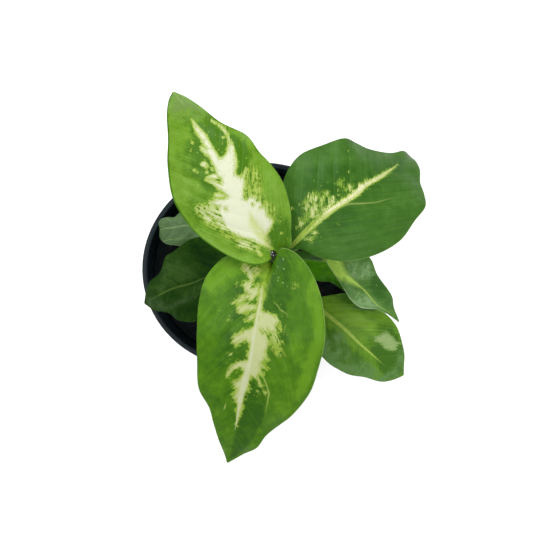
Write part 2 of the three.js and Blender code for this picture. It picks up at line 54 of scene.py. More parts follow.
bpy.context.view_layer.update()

Array = np.ndarray
Pair = tuple[float, float]
Point = tuple[float, float, float]
Colour = tuple[float, float, float]
Screen = tuple[int, int, int]
Outline = tuple[Pair, ...]

SHINE = "Specular IOR Level"


# ---- Small helpers ----


def compass(azimuth: float) -> Array:
    """Unit vector in the ground plane at an azimuth in degrees."""
    turn = math.radians(azimuth)
    return np.array((math.cos(turn), math.sin(turn), 0.0))


def smooth(value: Array, low: float, high: float) -> Array:
    """Smooth step from 0 at low to 1 at high, which may also be the lower of the two."""
    share = np.clip((value - low) / (high - low), 0.0, 1.0)
    return share * share * (3.0 - 2.0 * share)


def lerp(start: float, end: float, share: float) -> float:
    """Value between start and end."""
    return start + (end - start) * share


def seen(colour: Screen) -> Colour:
    """Surface colour that looks like an 8-bit screen colour under the studio's light.

    Args:
        colour: Red, green and blue from 0 to 255.

    Returns:
        A linear colour.
    """
    light, sheen, least = 2.05, 0.014, 0.0005
    parts = (channel / 255.0 for channel in colour)
    linear = (p / 12.92 if p <= 0.04045 else ((p + 0.055) / 1.055) ** 2.4 for p in parts)
    return tuple(max(part - sheen, least) / light for part in linear)


def only(obj: Object) -> None:
    """Deselects everything but one object and makes it active.

    Args:
        obj: The object.
    """
    bpy.ops.object.select_all(action="DESELECT")
    obj.select_set(True)
    bpy.context.view_layer.objects.active = obj


@contextmanager
def editing(obj: Object, selected: str = "SELECT") -> Iterator[None]:
    """Opens a mesh in edit mode and closes it again.

    Args:
        obj: The object.
        selected: SELECT to start with all of it selected, DESELECT to start with none.
    """
    only(obj)
    bpy.ops.object.mode_set(mode="EDIT")
    bpy.ops.mesh.select_all(action=selected)
    yield
    bpy.ops.object.mode_set(mode="OBJECT")


def placed(name: str, data: ID) -> Object:
    """Adds an object to the scene.

    Args:
        name: Name of the object.
        data: The mesh, camera or light that it holds.

    Returns:
        The object.
    """
    obj = bpy.data.objects.new(name, data)
    bpy.context.scene.collection.objects.link(obj)
    return obj


def finish_modifier(obj: Object, name: str) -> None:
    """Applies a modifier of an object for good."""
    only(obj)
    bpy.ops.object.modifier_apply(modifier=name)


def settle(obj: Object, name: str, smooth_angle: float = 35.0) -> None:
    """Names an object, puts its place into its mesh and shades it smooth up to an angle.

    Args:
        obj: The object.
        name: Its name, which its mesh gets too.
        smooth_angle: Edges sharper than this many degrees stay hard.
    """
    only(obj)
    obj.name = name
    obj.data.name = name
    bpy.ops.object.transform_apply(location=True, rotation=True, scale=True)
    bpy.ops.object.shade_smooth_by_angle(angle=math.radians(smooth_angle))


def tidy_shell(obj: Object, reach: float = 1e-6) -> None:
    """Merges doubles of a closed mesh, at most reach metres apart, and turns its faces outwards."""
    with editing(obj):
        bpy.ops.mesh.remove_doubles(threshold=reach)
        bpy.ops.mesh.normals_make_consistent(inside=False)


def places(mesh: Mesh) -> Array:
    """Reads the points of a mesh.

    Args:
        mesh: The mesh.

    Returns:
        Rows of three numbers in metres.
    """
    flat = np.empty(len(mesh.vertices) * 3)
    mesh.vertices.foreach_get("co", flat)
    return flat.reshape(-1, 3)


def move_to(mesh: Mesh, points: Array) -> None:
    """Moves the points of a mesh."""
    mesh.vertices.foreach_set("co", points.ravel())
    mesh.update()


def paint(mesh: Mesh, name: str, values: Array) -> None:
    """Stores one number or one vector for each point of a mesh.

    Args:
        mesh: The mesh.
        name: Name that materials read the values by.
        values: The numbers, or rows of three of them.
    """
    kind, slot = ("FLOAT", "value") if values.ndim == 1 else ("FLOAT_VECTOR", "vector")
    layer = mesh.attributes.new(name, kind, "POINT")
    layer.data.foreach_set(slot, np.ascontiguousarray(values, dtype=np.float32).ravel())


def wear(obj: Object, material: Material) -> None:
    """Gives a piece its one material."""
    obj.data.materials.clear()
    obj.data.materials.append(material)


def hand_over(obj: Object, slot: str, *nodes: str) -> None:
    """Lets a finished piece ride on the plant and stand for nodes of the solid model.

    Args:
        obj: The finished piece.
        slot: The record's material slot; not used.
        nodes: The nodes that it stands for.
    """
    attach(obj, "root")
    if nodes:
        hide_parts(*nodes)
    LOG.info("%s: %d points, %d faces", obj.name, len(obj.data.vertices), len(obj.data.polygons))


class Curve:
    """A smooth curve through points that can be read at even steps of its length."""

    DIVISIONS = 200
    NUDGE = 1e-4

    def __init__(self, points: list) -> None:
        """Keeps the points, with one more beyond either end.

        Args:
            points: Points that the curve passes through.
        """
        given = np.asarray(points, dtype=float)
        self.spans = len(given) - 1
        self.padded = np.vstack((2 * given[0] - given[1], given, 2 * given[-1] - given[-2]))
        self.steps = np.linspace(0.0, 1.0, self.DIVISIONS + 1)
        walked = np.linalg.norm(np.diff(self.point(self.steps), axis=0), axis=1)
        self.walked = np.concatenate(([0.0], np.cumsum(walked)))

    @property
    def length(self) -> float:
        """Length of the curve."""
        return self.walked[-1]

    def point(self, share: Array) -> Array:
        """Points at shares of the number of spans.

        Args:
            share: One share for each point, from 0 to 1.

        Returns:
            Rows of three numbers.
        """
        position = np.clip(share, 0.0, 1.0) * self.spans
        span = np.minimum(position.astype(int), self.spans - 1)
        t = (position - span)[..., None]
        a, b, c, d = (self.padded[span + i] for i in range(4))
        before, here, after = (
            np.sqrt(np.linalg.norm(end - start, axis=-1, keepdims=True))
            for start, end in ((a, b), (b, c), (c, d))
        )
        leave = ((b - a) / before - (c - a) / (before + here) + (c - b) / here) * here
        arrive = ((c - b) / here - (d - b) / (here + after) + (d - c) / after) * here
        square = 3 * (c - b) - 2 * leave - arrive
        cube = 2 * (b - c) + leave + arrive
        return b + t * (leave + t * (square + t * cube))

    def tangent(self, share: Array) -> Array:
        """Unit directions at shares of the number of spans.

        Args:
            share: One share for each point, from 0 to 1.

        Returns:
            Rows of three numbers.
        """
        ahead, behind = np.minimum(share + self.NUDGE, 1.0), np.maximum(share - self.NUDGE, 0.0)
        step = self.point(ahead) - self.point(behind)
        return step / np.linalg.norm(step, axis=-1, keepdims=True)

    def at(self, share: Array) -> Array:
        """Points at shares of the length."""
        return self.point(np.interp(np.asarray(share) * self.length, self.walked, self.steps))


def inside(points: Array, outline: Outline) -> Array:
    """Distance of points in a plane from an outline, positive inside it.

    Args:
        points: Rows of two numbers.
        outline: Corners of a closed outline.

    Returns:
        One distance for each point.
    """
    corners = np.asarray(outline, dtype=float)
    nearest = np.full(len(points), np.inf)
    odd = np.zeros(len(points), dtype=bool)
    for start, end in zip(corners, np.roll(corners, -1, axis=0)):
        side = end - start
        away = points - start
        share = np.clip(away @ side / max(side @ side, TINY), 0.0, 1.0)
        nearest = np.minimum(nearest, np.linalg.norm(away - share[:, None] * side, axis=1))
        spans = (start[1] > points[:, 1]) != (end[1] > points[:, 1])
        rise = side[1] if side[1] else TINY
        odd ^= spans & (points[:, 0] < start[0] + (points[:, 1] - start[1]) * side[0] / rise)
    return np.where(odd, nearest, -nearest)


def beside(points: Array, path: Outline) -> tuple[Array, Array]:
    """Distance of points in a plane from an open path, positive on its left, and the share of the path there.

    Args:
        points: Rows of two numbers.
        path: Points of the path.

    Returns:
        One distance and one share for each point.
    """
    corners = np.asarray(path, dtype=float)
    lengths = np.linalg.norm(np.diff(corners, axis=0), axis=1)
    nearest = np.full(len(points), np.inf)
    signed = np.zeros(len(points))
    run = np.zeros(len(points))
    walked = 0.0
    for start, end, length in zip(corners, corners[1:], lengths):
        side = (end - start) / length
        away = points - start
        reach = np.clip(away @ side, 0.0, length)
        gap = np.linalg.norm(away - reach[:, None] * side, axis=1)
        turn = side[0] * away[:, 1] - side[1] * away[:, 0]
        closer = gap < nearest
        signed = np.where(closer, np.where(turn < 0, -gap, gap), signed)
        run = np.where(closer, (walked + reach) / lengths.sum(), run)
        nearest = np.minimum(nearest, gap)
        walked += length
    return signed, run


# ---- Node trees ----


class Value:
    """An output in a node tree that can be reckoned with."""

    def __init__(self, graph: "Graph", socket: NodeSocket) -> None:
        """Keeps the graph and the socket."""
        self.graph = graph
        self.socket = socket

    def __add__(self, other: object) -> "Value":
        """Sum with a number or another value."""
        return self.graph.math("ADD", self, other)

    def __sub__(self, other: object) -> "Value":
        """Difference from a number or another value."""
        return self.graph.math("SUBTRACT", self, other)

    def __mul__(self, other: object) -> "Value":
        """Product with a number or another value."""
        return self.graph.math("MULTIPLY", self, other)

    def clamped(self) -> "Value":
        """The value held between 0 and 1."""
        return self.graph.math("ADD", self, 0.0, clamp=True)

    def step(self, low: float, high: float, start: float = 0.0, end: float = 1.0) -> "Value":
        """Smooth step from start at low to end at high."""
        span = {"Value": self, "From Min": low, "From Max": high, "To Min": start, "To Max": end}
        return self.graph.out("ShaderNodeMapRange", "Result", span, interpolation_type="SMOOTHSTEP")


class Graph:
    """Writes a node tree as nested calls. What goes in may be a number, a colour or a value."""

    def __init__(self, tree: NodeTree) -> None:
        """Keeps the tree that the calls write into."""
        self.tree = tree

    def node(self, kind: str, inputs: dict | None = None, **settings: object) -> Node:
        """Adds a node.

        Args:
            kind: Type name of the node.
            inputs: What goes in, by the name or place of the input.
            settings: Properties of the node.

        Returns:
            The node.
        """
        made = self.tree.nodes.new(kind)
        for name, value in settings.items():
            setattr(made, name, value)
        for key, value in (inputs or {}).items():
            self.feed(made.inputs[key], value)
        return made

    def out(self, kind: str, output: int | str, inputs: dict | None = None, **settings: object) -> Value:
        """One output of a new node."""
        return Value(self, self.node(kind, inputs, **settings).outputs[output])

    def feed(self, socket: NodeSocket, value: object) -> None:
        """Links or sets one input.

        Args:
            socket: The input.
            value: What goes in.
        """
        if isinstance(value, Value):
            self.tree.links.new(value.socket, socket)
        elif isinstance(value, tuple) and socket.type == "RGBA":
            socket.default_value = (*value, 1.0)
        else:
            socket.default_value = value

    def math(self, operation: str, a: object, b: object = 0.0, clamp: bool = False) -> Value:
        """Result of a Math node."""
        return self.out("ShaderNodeMath", 0, {0: a, 1: b}, operation=operation, use_clamp=clamp)

    def mix(self, amount: object, a: object, b: object) -> Value:
        """Colour between two colours.

        Args:
            amount: Share of the second colour.
            a: First colour.
            b: Second colour.

        Returns:
            The mixed colour.
        """
        made = self.node("ShaderNodeMix", {0: amount}, data_type="RGBA", clamp_factor=True)
        first, second = (socket for socket in made.inputs if socket.type == "RGBA")
        self.feed(first, a)
        self.feed(second, b)
        return Value(self, next(socket for socket in made.outputs if socket.type == "RGBA"))

    def noise(self, vector: object, scale: float, detail: float = 2.0, rough: float = 0.5) -> Value:
        """Value of a noise texture, about 0.5."""
        inputs = {"Vector": vector, "Scale": scale, "Detail": detail, "Roughness": rough}
        return self.out("ShaderNodeTexNoise", "Fac", inputs)

    def stretch(self, vector: object, sizes: Point) -> Value:
        """A vector with each part divided by a size."""
        inputs = {"Vector": vector, "Scale": tuple(1.0 / size for size in sizes)}
        return self.out("ShaderNodeMapping", "Vector", inputs)

    def read(self, name: str, vector: bool = False) -> Value:
        """A number or vector that the mesh stores under a name."""
        output = "Vector" if vector else "Fac"
        return self.out("ShaderNodeAttribute", output, attribute_name=name, attribute_type="GEOMETRY")

    def place(self) -> Value:
        """Place on the object."""
        return self.out("ShaderNodeTexCoord", "Object")

    def effect(self, effect: "Effect") -> Node:
        """Places a shared node group."""
        return self.node("ShaderNodeGroup", node_tree=bpy.data.node_groups[effect.value])

    def shade(
        self, colour: object, rough: object, more: dict[str, object] | None = None,
        height: Value | None = None, strength: float = 0.0, depth: float = 0.0,
    ) -> None:
        """Feeds the material's surface shader.

        Args:
            colour: Base colour.
            rough: Roughness.
            more: What else goes into the shader, by the name of the input.
            height: Relief of the surface.
            strength: How strongly the relief shows.
            depth: Depth of the relief in millimetres.
        """
        shader = next(node for node in self.tree.nodes if node.type == "BSDF_PRINCIPLED")
        inputs = {"Base Color": colour, "Roughness": rough} | (more or {})
        if height is not None:
            bump = {"Height": height, "Strength": strength, "Distance": depth * MM}
            inputs["Normal"] = self.out("ShaderNodeBump", "Normal", bump)
        for name, value in inputs.items():
            self.feed(shader.inputs[name], value)


def new_group(name: str, inputs: dict[str, object], outputs: dict[str, str]) -> tuple[Graph, dict, dict]:
    """Starts a node group.

    Args:
        name: Name of the group.
        inputs: Standing value of each input by name: a number or a colour.
        outputs: Socket type of each output by name.

    Returns:
        The graph of the group, its inputs as values and its output sockets, both by name.
    """
    tree = bpy.data.node_groups.new(name, "ShaderNodeTree")
    graph = Graph(tree)
    for key, value in inputs.items():
        kind = "NodeSocketColor" if isinstance(value, tuple) else "NodeSocketFloat"
        socket = tree.interface.new_socket(name=key, in_out="INPUT", socket_type=kind)
        socket.default_value = (*value, 1.0) if isinstance(value, tuple) else value
    for key, kind in outputs.items():
        tree.interface.new_socket(name=key, in_out="OUTPUT", socket_type=kind)
    given = graph.node("NodeGroupInput")
    result = graph.node("NodeGroupOutput")
    return graph, {key: Value(graph, given.outputs[key]) for key in inputs}, result.inputs


class Effect(Enum):
    """The node groups that materials share."""

    LEAF = "leaf tissue"
    DUST = "fine dust"


# Grain of a leaf: size along the midrib and across its side veins in mm, detail and roughness
STREAK, BLOTCH, BAND, THREAD = (0.65, 3.6, 4, 0.65), (2.2, 3, 3, 0.55), (1.4, 17, 3, 0.6), (0.42, 12, 2, 0.6)

# Even patterns of a leaf: size in mm
SPECK, DOTS, PUDDLE, CLOUD = 0.6, 1.6, 3.5, 9.0


def build_leaf_group() -> None:
    """Builds the tissue of a leaf, by what the mesh stores of each point."""
    colours = ("Green", "Dark", "Pale", "Cream", "White", "Halo", "Rib", "Margin", "Under", "Glow", "Painted_sheen")
    shares = (
        "Frayed", "Flecked", "Specks", "Edge_highlight", "Gloss", "Close", "Veined", "Ribbed", "Laced", "Ringed",
    )
    graph, given, result = new_group(
        Effect.LEAF.value,
        {name: (0.1, 0.2, 0.03) for name in colours} | {name: 0.5 for name in shares},
        {"Color": "NodeSocketColor", "Roughness": "NodeSocketFloat", "Height": "NodeSocketFloat"},
    )
    grain = graph.read("grain", vector=True)
    fine = graph.stretch(graph.place(), (MM, MM, MM))
    streak, blotch, band, thread = (
        graph.noise(graph.stretch(grain, (along, across, 1.0)), 1.0, detail, rough) - 0.5
        for along, across, detail, rough in (STREAK, BLOTCH, BAND, THREAD)
    )
    speck, dots, puddle, cloud = (
        graph.noise(fine, 1.0 / size, 3, 0.55) - 0.5 for size in (SPECK, DOTS, PUDDLE, CLOUD)
    )
    cream, mottle, rib = graph.read("cream"), graph.read("mottle"), graph.read("rib")
    colour = given["Green"]

    def lay(amount: object, paint: object) -> None:
        """Lays a paint over the colours below it."""
        nonlocal colour
        colour = graph.mix(amount, colour, paint)

    # Greens: darker close to the cream, lighter towards the margin; the stored light also holds painted light
    # and shade
    tone_and_shading = graph.read("light")
    # The noise bands along the side veins also paint the light and shade of the leaf's pleats
    for texture, weight in ((cloud, 1.8), (band, 1.2), (puddle, 1.6), (speck, 1.2), (thread, 1.4)):
        tone_and_shading += texture * weight
    tone_and_shading -= cream.step(-8.0, -1.0) * given["Close"]
    lay(tone_and_shading.step(-1.2, 0.1, 1.0, 0.0), given["Dark"])
    lay(tone_and_shading.step(-0.1, 1.2), given["Pale"])
    lane = graph.math("PINGPONG", graph.out("ShaderNodeSeparateXYZ", "Z", {"Vector": grain}), 0.5)
    vein = lane.step(0.012, 0.05, 1.0, 0.0) * graph.read("veined")
    lay(vein * given["Veined"], given["Pale"])

    # Yellow zones, zones of painted sheen, and half-coloured zones with dark dots
    glow = graph.read("glow") * blotch.step(-0.2, 0.12, 0.45, 1.0)
    lay(glow, given["Glow"])
    painted_sheen = graph.read("painted_sheen") * (cloud + dots * 0.5).step(-0.12, 0.1, 0.25, 1.0)
    lay(painted_sheen, given["Painted_sheen"])
    strands = (streak * 10.0 + blotch * 2.2) * mottle.step(0.0, 1.0, 1.0, 0.5)
    crumbs = speck * 3.0 + dots * 5.0
    lace = streak * 0.6 + blotch * 0.9 + dots * 0.6 + speck * 0.5
    lay(mottle * (lace * 3.5 + 0.5).clamped(), given["Halo"])
    lay(mottle * lace.step(-0.16, -0.08, 0.85, 0.0), given["Dark"])

    # Loose specks near the patches
    cells = graph.node("ShaderNodeTexVoronoi", {"Vector": fine, "Scale": 0.6}, feature="F1")
    chance = graph.out("ShaderNodeSeparateColor", 0, {"Color": Value(graph, cells.outputs["Color"])})
    spot = Value(graph, cells.outputs["Distance"]).step(0.08, 0.32, 0.65, 0.0)
    near = cream.step(-10.0, -0.5) * given["Specks"]
    lay(spot * (near - chance).step(0.0, 0.05), given["Halo"])

    # Cream patches, frayed along the veins
    waver = strands * given["Frayed"] + crumbs * given["Flecked"] + lace * mottle * given["Laced"]
    depth = cream + waver * graph.read("fray")
    lay((depth + puddle.step(-0.03, 0.15) * given["Ringed"]).step(-0.7, -0.2, 0.0, 0.85), given["Halo"])
    faded = mottle.step(0.0, 1.0, 1.0, 0.6)
    lay(depth.step(-0.15, 0.25) * faded, given["Cream"])
    lay((depth - puddle.step(0.0, 0.2) * given["Ringed"]).step(0.2, 1.4) * faded, given["White"])
    fleck = (speck + dots * 0.7).step(0.05, 0.16) * depth.step(0.0, 3.5, 0.9, 0.1)
    lay(fleck * depth.step(-0.1, 0.3), graph.mix(0.4, given["Halo"], given["Green"]))

    # Thin lines, rib, and a painted highlight along the margin
    lay(glow * depth.step(-0.5, 0.5, 0.0, 0.85), given["Glow"])
    line = graph.math("ABSOLUTE", graph.read("trace")).step(0.12, 0.5, 1.0, 0.0)
    lay(line * graph.read("traced"), graph.mix(0.4, given["Cream"], given["Halo"]))
    plain = graph.mix(depth.step(-0.4, 0.4), (1.0, 1.0, 1.0), given["Ribbed"])
    ribbed = rib.step(-0.3, 0.15) * plain * (blotch + dots).step(-0.25, 0.1, 0.6, 1.0)
    lay(ribbed, graph.mix(graph.read("glow"), given["Rib"], given["Glow"]))
    lay(graph.read("edge").step(0.15, 0.75, 1.0, 0.0) * given["Edge_highlight"], given["Margin"])

    # Underside: paler, with its veins and rib standing out
    below = graph.mix(vein * 0.5, given["Under"], given["Pale"])
    below = graph.mix(rib.step(-0.6, 0.4), below, given["Rib"])
    below = graph.mix(cloud.step(-0.15, 0.15, 0.0, 0.35), below, given["Green"])
    under = graph.read("under")
    lay(under.step(0.3, 0.7), below)
    graph.feed(result["Color"], colour)

    # Gloss and relief
    graph.feed(result["Roughness"], (blotch * 0.3 + given["Gloss"] + under * 0.2).clamped())
    relief = band * 0.8 + speck * 0.35 + cloud * 1.2 + streak * 0.25 - vein * 0.4
    graph.feed(result["Height"], relief)


def build_dust_group() -> None:
    """Builds fine dust and splashes on plastic: a mask and a height."""
    outputs = {"Mask": "NodeSocketFloat", "Height": "NodeSocketFloat"}
    graph, given, result = new_group(Effect.DUST.value, {"Amount": 0.3}, outputs)
    film = graph.noise(graph.place(), 70.0, 4.0, 0.6)
    grit = graph.noise(graph.place(), 1600.0, 2.0, 0.6)
    graph.feed(result["Mask"], ((film.step(0.45, 0.8) + grit.step(0.66, 0.78)) * given["Amount"]).clamped())
    graph.feed(result["Height"], grit)


class Finish:
    """Looks of a surface."""

    def material(self, name: str) -> Material:
        """Makes the material.

        Args:
            name: Name of the material.

        Returns:
            The material.
        """
        material = bpy.data.materials.new(name)
        material.use_nodes = True
        self.draw(Graph(material.node_tree))
        return material

    def draw(self, graph: Graph) -> None:
        """Feeds the material's surface shader."""
        raise NotImplementedError


@dataclass(frozen=True)
class LeafFinish(Finish):
    """Looks of one leaf. Its colours are what the eye sees, and the shares say how far each effect goes."""

    green: Screen
    dark: Screen
    pale: Screen
    cream: Screen = (205, 218, 150)
    white: Screen = (238, 242, 212)
    halo: Screen = (162, 188, 82)
    rib: Screen = (165, 185, 90)
    # Colour of the painted highlight along the margin
    margin: Screen = (165, 195, 120)
    under: Screen = (110, 150, 85)
    glow: Screen = (138, 175, 75)
    # Colour of the painted sheen, where a leaf shines greyish
    painted_sheen: Screen = (112, 145, 92)
    frayed: float = 0.5
    laced: float = 6.0
    ringed: float = 1.3
    # How strongly the painted highlight along the margin shows
    flecked: float = 0.8
    specks: float = 0.25
    edge_highlight: float = 0.5
    gloss: float = 0.45
    close: float = 0.5
    veined: float = 0.15
    ribbed: float = 0.2
    # Painted light: raises every colour of a leaf that lies in the shade of others
    painted_light_gain: float = 1.0
    specular: float = 0.12

    def draw(self, graph: Graph) -> None:
        """Colours the leaf by the shared tissue.

        Args:
            graph: The material's graph.
        """
        tissue = graph.effect(Effect.LEAF)
        for entry in tissue.inputs:
            value = getattr(self, entry.name.lower())
            if isinstance(value, tuple):
                # Colours raised by the leaf's painted light
                value = tuple(part * self.painted_light_gain for part in seen(value))
            graph.feed(entry, value)
        colour, rough, height = (Value(graph, output) for output in tissue.outputs)
        graph.shade(colour, rough, {SHINE: self.specular}, height, 0.35, 0.25)


@dataclass(frozen=True)
class PlasticFinish(Finish):
    """Black moulded plastic with a little dust."""

    colour: Colour = (0.0062, 0.0115, 0.0140)
    dusty: Colour = (0.012, 0.018, 0.019)
    roughness: float = 0.36
    specular: float = 0.1
    dust: float = 0.35

    def draw(self, graph: Graph) -> None:
        """Makes the plastic, a little dusty.

        Args:
            graph: The material's graph.
        """
        film = graph.effect(Effect.DUST)
        graph.feed(film.inputs["Amount"], self.dust)
        mask, grit = (Value(graph, output) for output in film.outputs)
        swirl = graph.noise(graph.stretch(graph.place(), (1.0, 1.0, 0.12)), 240.0, 3.0, 0.6) - 0.5
        colour = graph.mix(mask, self.colour, self.dusty)
        rough = swirl * 0.18 + self.roughness + mask * 0.3
        graph.shade(colour, rough, {SHINE: self.specular}, grit * 0.4 + swirl, 0.25, 0.1)


@dataclass(frozen=True)
class SoilFinish(Finish):
    """Dark potting soil, or the crumbs and bark on it."""

    dark: Colour = (0.0020, 0.0038, 0.0040)
    brown: Colour = (0.0030, 0.0045, 0.0046)
    light: Colour = (0.007, 0.0085, 0.008)
    bits: float = 0.3
    roughness: float = 0.9
    specular: float = 0.1

    def draw(self, graph: Graph) -> None:
        """Makes the soil of clumps, fibres and light bits.

        Args:
            graph: The material's graph.
        """
        place = graph.place()
        clump = graph.noise(place, 180.0, 4.0, 0.65)
        fibre = graph.noise(graph.stretch(place, (1.0, 3.0, 1.5)), 700.0, 3.0, 0.6)
        cells = graph.out("ShaderNodeTexVoronoi", "Color", {"Vector": place, "Scale": 420.0})
        chance = graph.out("ShaderNodeSeparateColor", 0, {"Color": cells})
        colour = graph.mix(clump.step(0.4, 0.75), self.dark, self.brown)
        colour = graph.mix(chance.step(1.0 - self.bits * 0.5, 1.0, 0.0, 0.8), colour, self.light)
        colour = graph.mix(fibre.step(0.62, 0.75, 0.0, 0.5), colour, self.brown)
        rough = (fibre - 0.5) * 0.12 + self.roughness
        graph.shade(colour, rough, {SHINE: self.specular}, clump + fibre * 0.5, 0.8, 0.6)


@dataclass(frozen=True)
class CaneFinish(Finish):
    """Green cane with corky rings."""

    green: Colour = (0.03, 0.08, 0.012)
    brown: Colour = (0.045, 0.075, 0.012)
    pale: Colour = (0.13, 0.2, 0.04)
    roughness: float = 0.7
    specular: float = 0.15

    def draw(self, graph: Graph) -> None:
        """Streaks the cane and darkens its scars.

        Args:
            graph: The material's graph.
        """
        place = graph.place()
        streaks = graph.noise(graph.stretch(place, (1.0, 1.0, 9.0)), 520.0, 3.0, 0.6)
        patches = graph.noise(place, 130.0, 3.0, 0.6)
        colour = graph.mix(patches.step(0.4, 0.7), self.green, self.brown)
        colour = graph.mix(streaks.step(0.5, 0.75, 0.0, 0.5), colour, self.pale)
        colour = graph.mix(graph.read("scar") * 0.75, colour, self.brown)
        rough = (patches - 0.5) * 0.2 + self.roughness
        graph.shade(colour, rough, {SHINE: self.specular}, streaks + patches * 0.5, 0.5, 0.3)


@dataclass(frozen=True)
class WaterFinish(Finish):
    """Water, clear or cloudy."""

    tint: Colour = (0.13, 0.27, 0.05)
    refraction: float = 1.333
    roughness: float = 0.25
    clear: float = 0.3
    deepening: float = 0.8

    def draw(self, graph: Graph) -> None:
        """Makes the water, a little uneven.

        Args:
            graph: The material's graph.
        """
        ripple = graph.noise(graph.place(), 900.0, 1.0, 0.5)
        colour = graph.mix(ripple, self.tint, tuple(part * self.deepening for part in self.tint))
        water = {"IOR": self.refraction, "Transmission Weight": self.clear}
        graph.shade(colour, ripple * (2 * self.roughness), water)


@dataclass(frozen=True)
class PaperFinish(Finish):
    """Matt white paper."""

    low: Colour = (0.9, 0.9, 0.9)
    high: Colour = (0.93, 0.93, 0.93)
    roughness: float = 0.9

    def draw(self, graph: Graph) -> None:
        """Gives the paper a faint tooth."""
        tooth = graph.noise(graph.place(), 900.0)
        graph.shade(graph.mix(tooth, self.low, self.high), self.roughness)


# ---- Pot and soil ----


@dataclass
class Pot:
    """The thin nursery pot: turned, drilled, then pressed a little oval."""

    height: float = 105.0
    rim_radius: float = 60.0
    heel_radius: float = 42.0
    wall: float = 1.2
    floor: float = 2.0
    heel_chamfer: float = 1.5
    heel_bend: float = 0.3
    lip_width: float = 3.0
    lip_height: float = 4.0
    lip_round: float = 0.8
    collar_height: float = 18.0
    collar_taper: float = 2.0
    collar_bend: Pair = (0.3, 0.35)
    step: float = 1.5
    squeeze: float = 0.05
    squeeze_turn: float = 12.4
    sides: int = 192
    hole_count: int = 8
    hole_radius: float = 3.5
    hole_height: float = 2.5
    hole_reach: float = 8.0
    finish: PlasticFinish = PlasticFinish()

    @property
    def collar_foot(self) -> float:
        """Outer radius where the collar ends."""
        return self.rim_radius - 2 * self.collar_taper

    def inner_wall(self) -> list[Pair]:
        """Works out the inner face.

        Returns:
            Radius and height of its corners, from the floor up to the lip.
        """
        base = self.heel_radius - self.wall
        step = self.height - self.collar_height
        return [
            (base - self.heel_chamfer / 2, self.floor),
            (base, self.floor + self.heel_chamfer / 2),
            (self.collar_foot - self.step - self.wall, step - self.step),
            (self.collar_foot - self.wall, step),
            (self.rim_radius - self.lip_width, self.height - self.lip_round),
        ]

    def outer_wall(self) -> list[Pair]:
        """Works out the outer face.

        Returns:
            Radius and height of its corners, from the floor up to the lip's top.
        """
        step = self.height - self.collar_height
        lip_foot = self.height - self.lip_height
        rim, bend = self.rim_radius, self.lip_round
        return [
            (self.heel_radius - self.heel_chamfer, 0.0),
            (self.heel_radius - self.heel_chamfer * self.heel_bend, self.heel_chamfer * self.heel_bend),
            (self.heel_radius, self.heel_chamfer),
            (self.collar_foot - self.step, step - self.step),
            (self.collar_foot - self.collar_bend[0], step - self.collar_bend[1]),
            (self.collar_foot, step),
            (rim - self.collar_taper, lip_foot),
            (rim - bend, lip_foot),
            *arc((rim - bend, lip_foot + bend), bend, range(-75, 1, 15)),
            *arc((rim - bend, self.height - bend), bend, range(15, 91, 15)),
            *arc((rim - self.lip_width + bend, self.height - bend), bend, range(90, 151, 15)),
        ]

    def inner_radius(self, height: float) -> float:
        """Radius of the inner face at a height."""
        radii, heights = zip(*self.inner_wall())
        return float(np.interp(height, heights, radii))

    def press(self, points: Array) -> Array:
        """Presses round points oval, most at the rim and not at all at the floor.

        Args:
            points: Rows of three numbers in metres.

        Returns:
            The moved points.
        """
        turn = np.arctan2(points[:, 1], points[:, 0]) - math.radians(self.squeeze_turn)
        share = self.squeeze * (points[:, 2] / (self.height * MM)) ** 2
        scale = 1.0 + share * np.cos(2 * turn)
        return points * np.column_stack((scale, scale, np.ones_like(scale)))

    def build(self) -> Object:
        """Turns, drills and presses the pot.

        Returns:
            The pot.
        """
        profile = [(0.0, 0.0), *self.outer_wall(), *reversed(self.inner_wall()), (0.0, self.floor)]
        obj = turned("nursery_pot", profile, self.sides)
        cutters = []
        for i in range(self.hole_count):
            azimuth = 360.0 / self.hole_count * (i + 0.5)
            bpy.ops.mesh.primitive_cylinder_add(
                vertices=40,
                radius=self.hole_radius * MM,
                depth=2 * self.hole_reach * MM,
                location=tuple((compass(azimuth) * self.heel_radius + (0.0, 0.0, self.hole_height)) * MM),
                rotation=(0.0, math.pi / 2, math.radians(azimuth)),
            )
            cutters.append(bpy.context.active_object)
        cut(obj, joined(cutters))
        move_to(obj.data, self.press(places(obj.data)))
        settle(obj, "nursery_pot", smooth_angle=32.0)
        return obj

    def dress(self, obj: Object) -> None:
        """Gives the pot its plastic."""
        wear(obj, self.finish.material("black pot plastic"))


def arc(centre: Pair, radius: float, turns: range) -> list[Pair]:
    """Radius and height of points on a bend, at turns in degrees."""
    angles = [math.radians(turn) for turn in turns]
    return [(centre[0] + radius * math.cos(a), centre[1] + radius * math.sin(a)) for a in angles]


def turned(name: str, profile: list[Pair], sides: int) -> Object:
    """Spins a profile about +Z.

    Args:
        name: Name of the object.
        profile: Radius and height in millimetres of each point, from the axis back to the axis.
        sides: Number of steps.

    Returns:
        A closed object.
    """
    mesh = bpy.data.meshes.new(name)
    points = [(radius * MM, 0.0, height * MM) for radius, height in profile]
    mesh.from_pydata(points, [(i, i + 1) for i in range(len(points) - 1)], [])
    obj = placed(name, mesh)
    with editing(obj):
        bpy.ops.mesh.spin(steps=sides, angle=math.tau, center=(0.0, 0.0, 0.0), axis=(0.0, 0.0, 1.0))
    tidy_shell(obj)
    return obj


def joined(objects: list[Object]) -> Object:
    """Joins objects into one.

    Args:
        objects: The objects.

    Returns:
        The first of them, which holds the rest.
    """
    bpy.ops.object.select_all(action="DESELECT")
    for obj in objects:
        obj.select_set(True)
    bpy.context.view_layer.objects.active = objects[0]
    bpy.ops.object.join()
    return objects[0]


def cut(obj: Object, cutter: Object) -> None:
    """Cuts a cutter out of an object.

    Args:
        obj: The object.
        cutter: The cutter, which is removed.
    """
    modifier = obj.modifiers.new("cut", "BOOLEAN")
    modifier.operation = "DIFFERENCE"
    modifier.solver = "EXACT"
    modifier.object = cutter
    finish_modifier(obj, modifier.name)
    bpy.data.objects.remove(cutter, do_unlink=True)


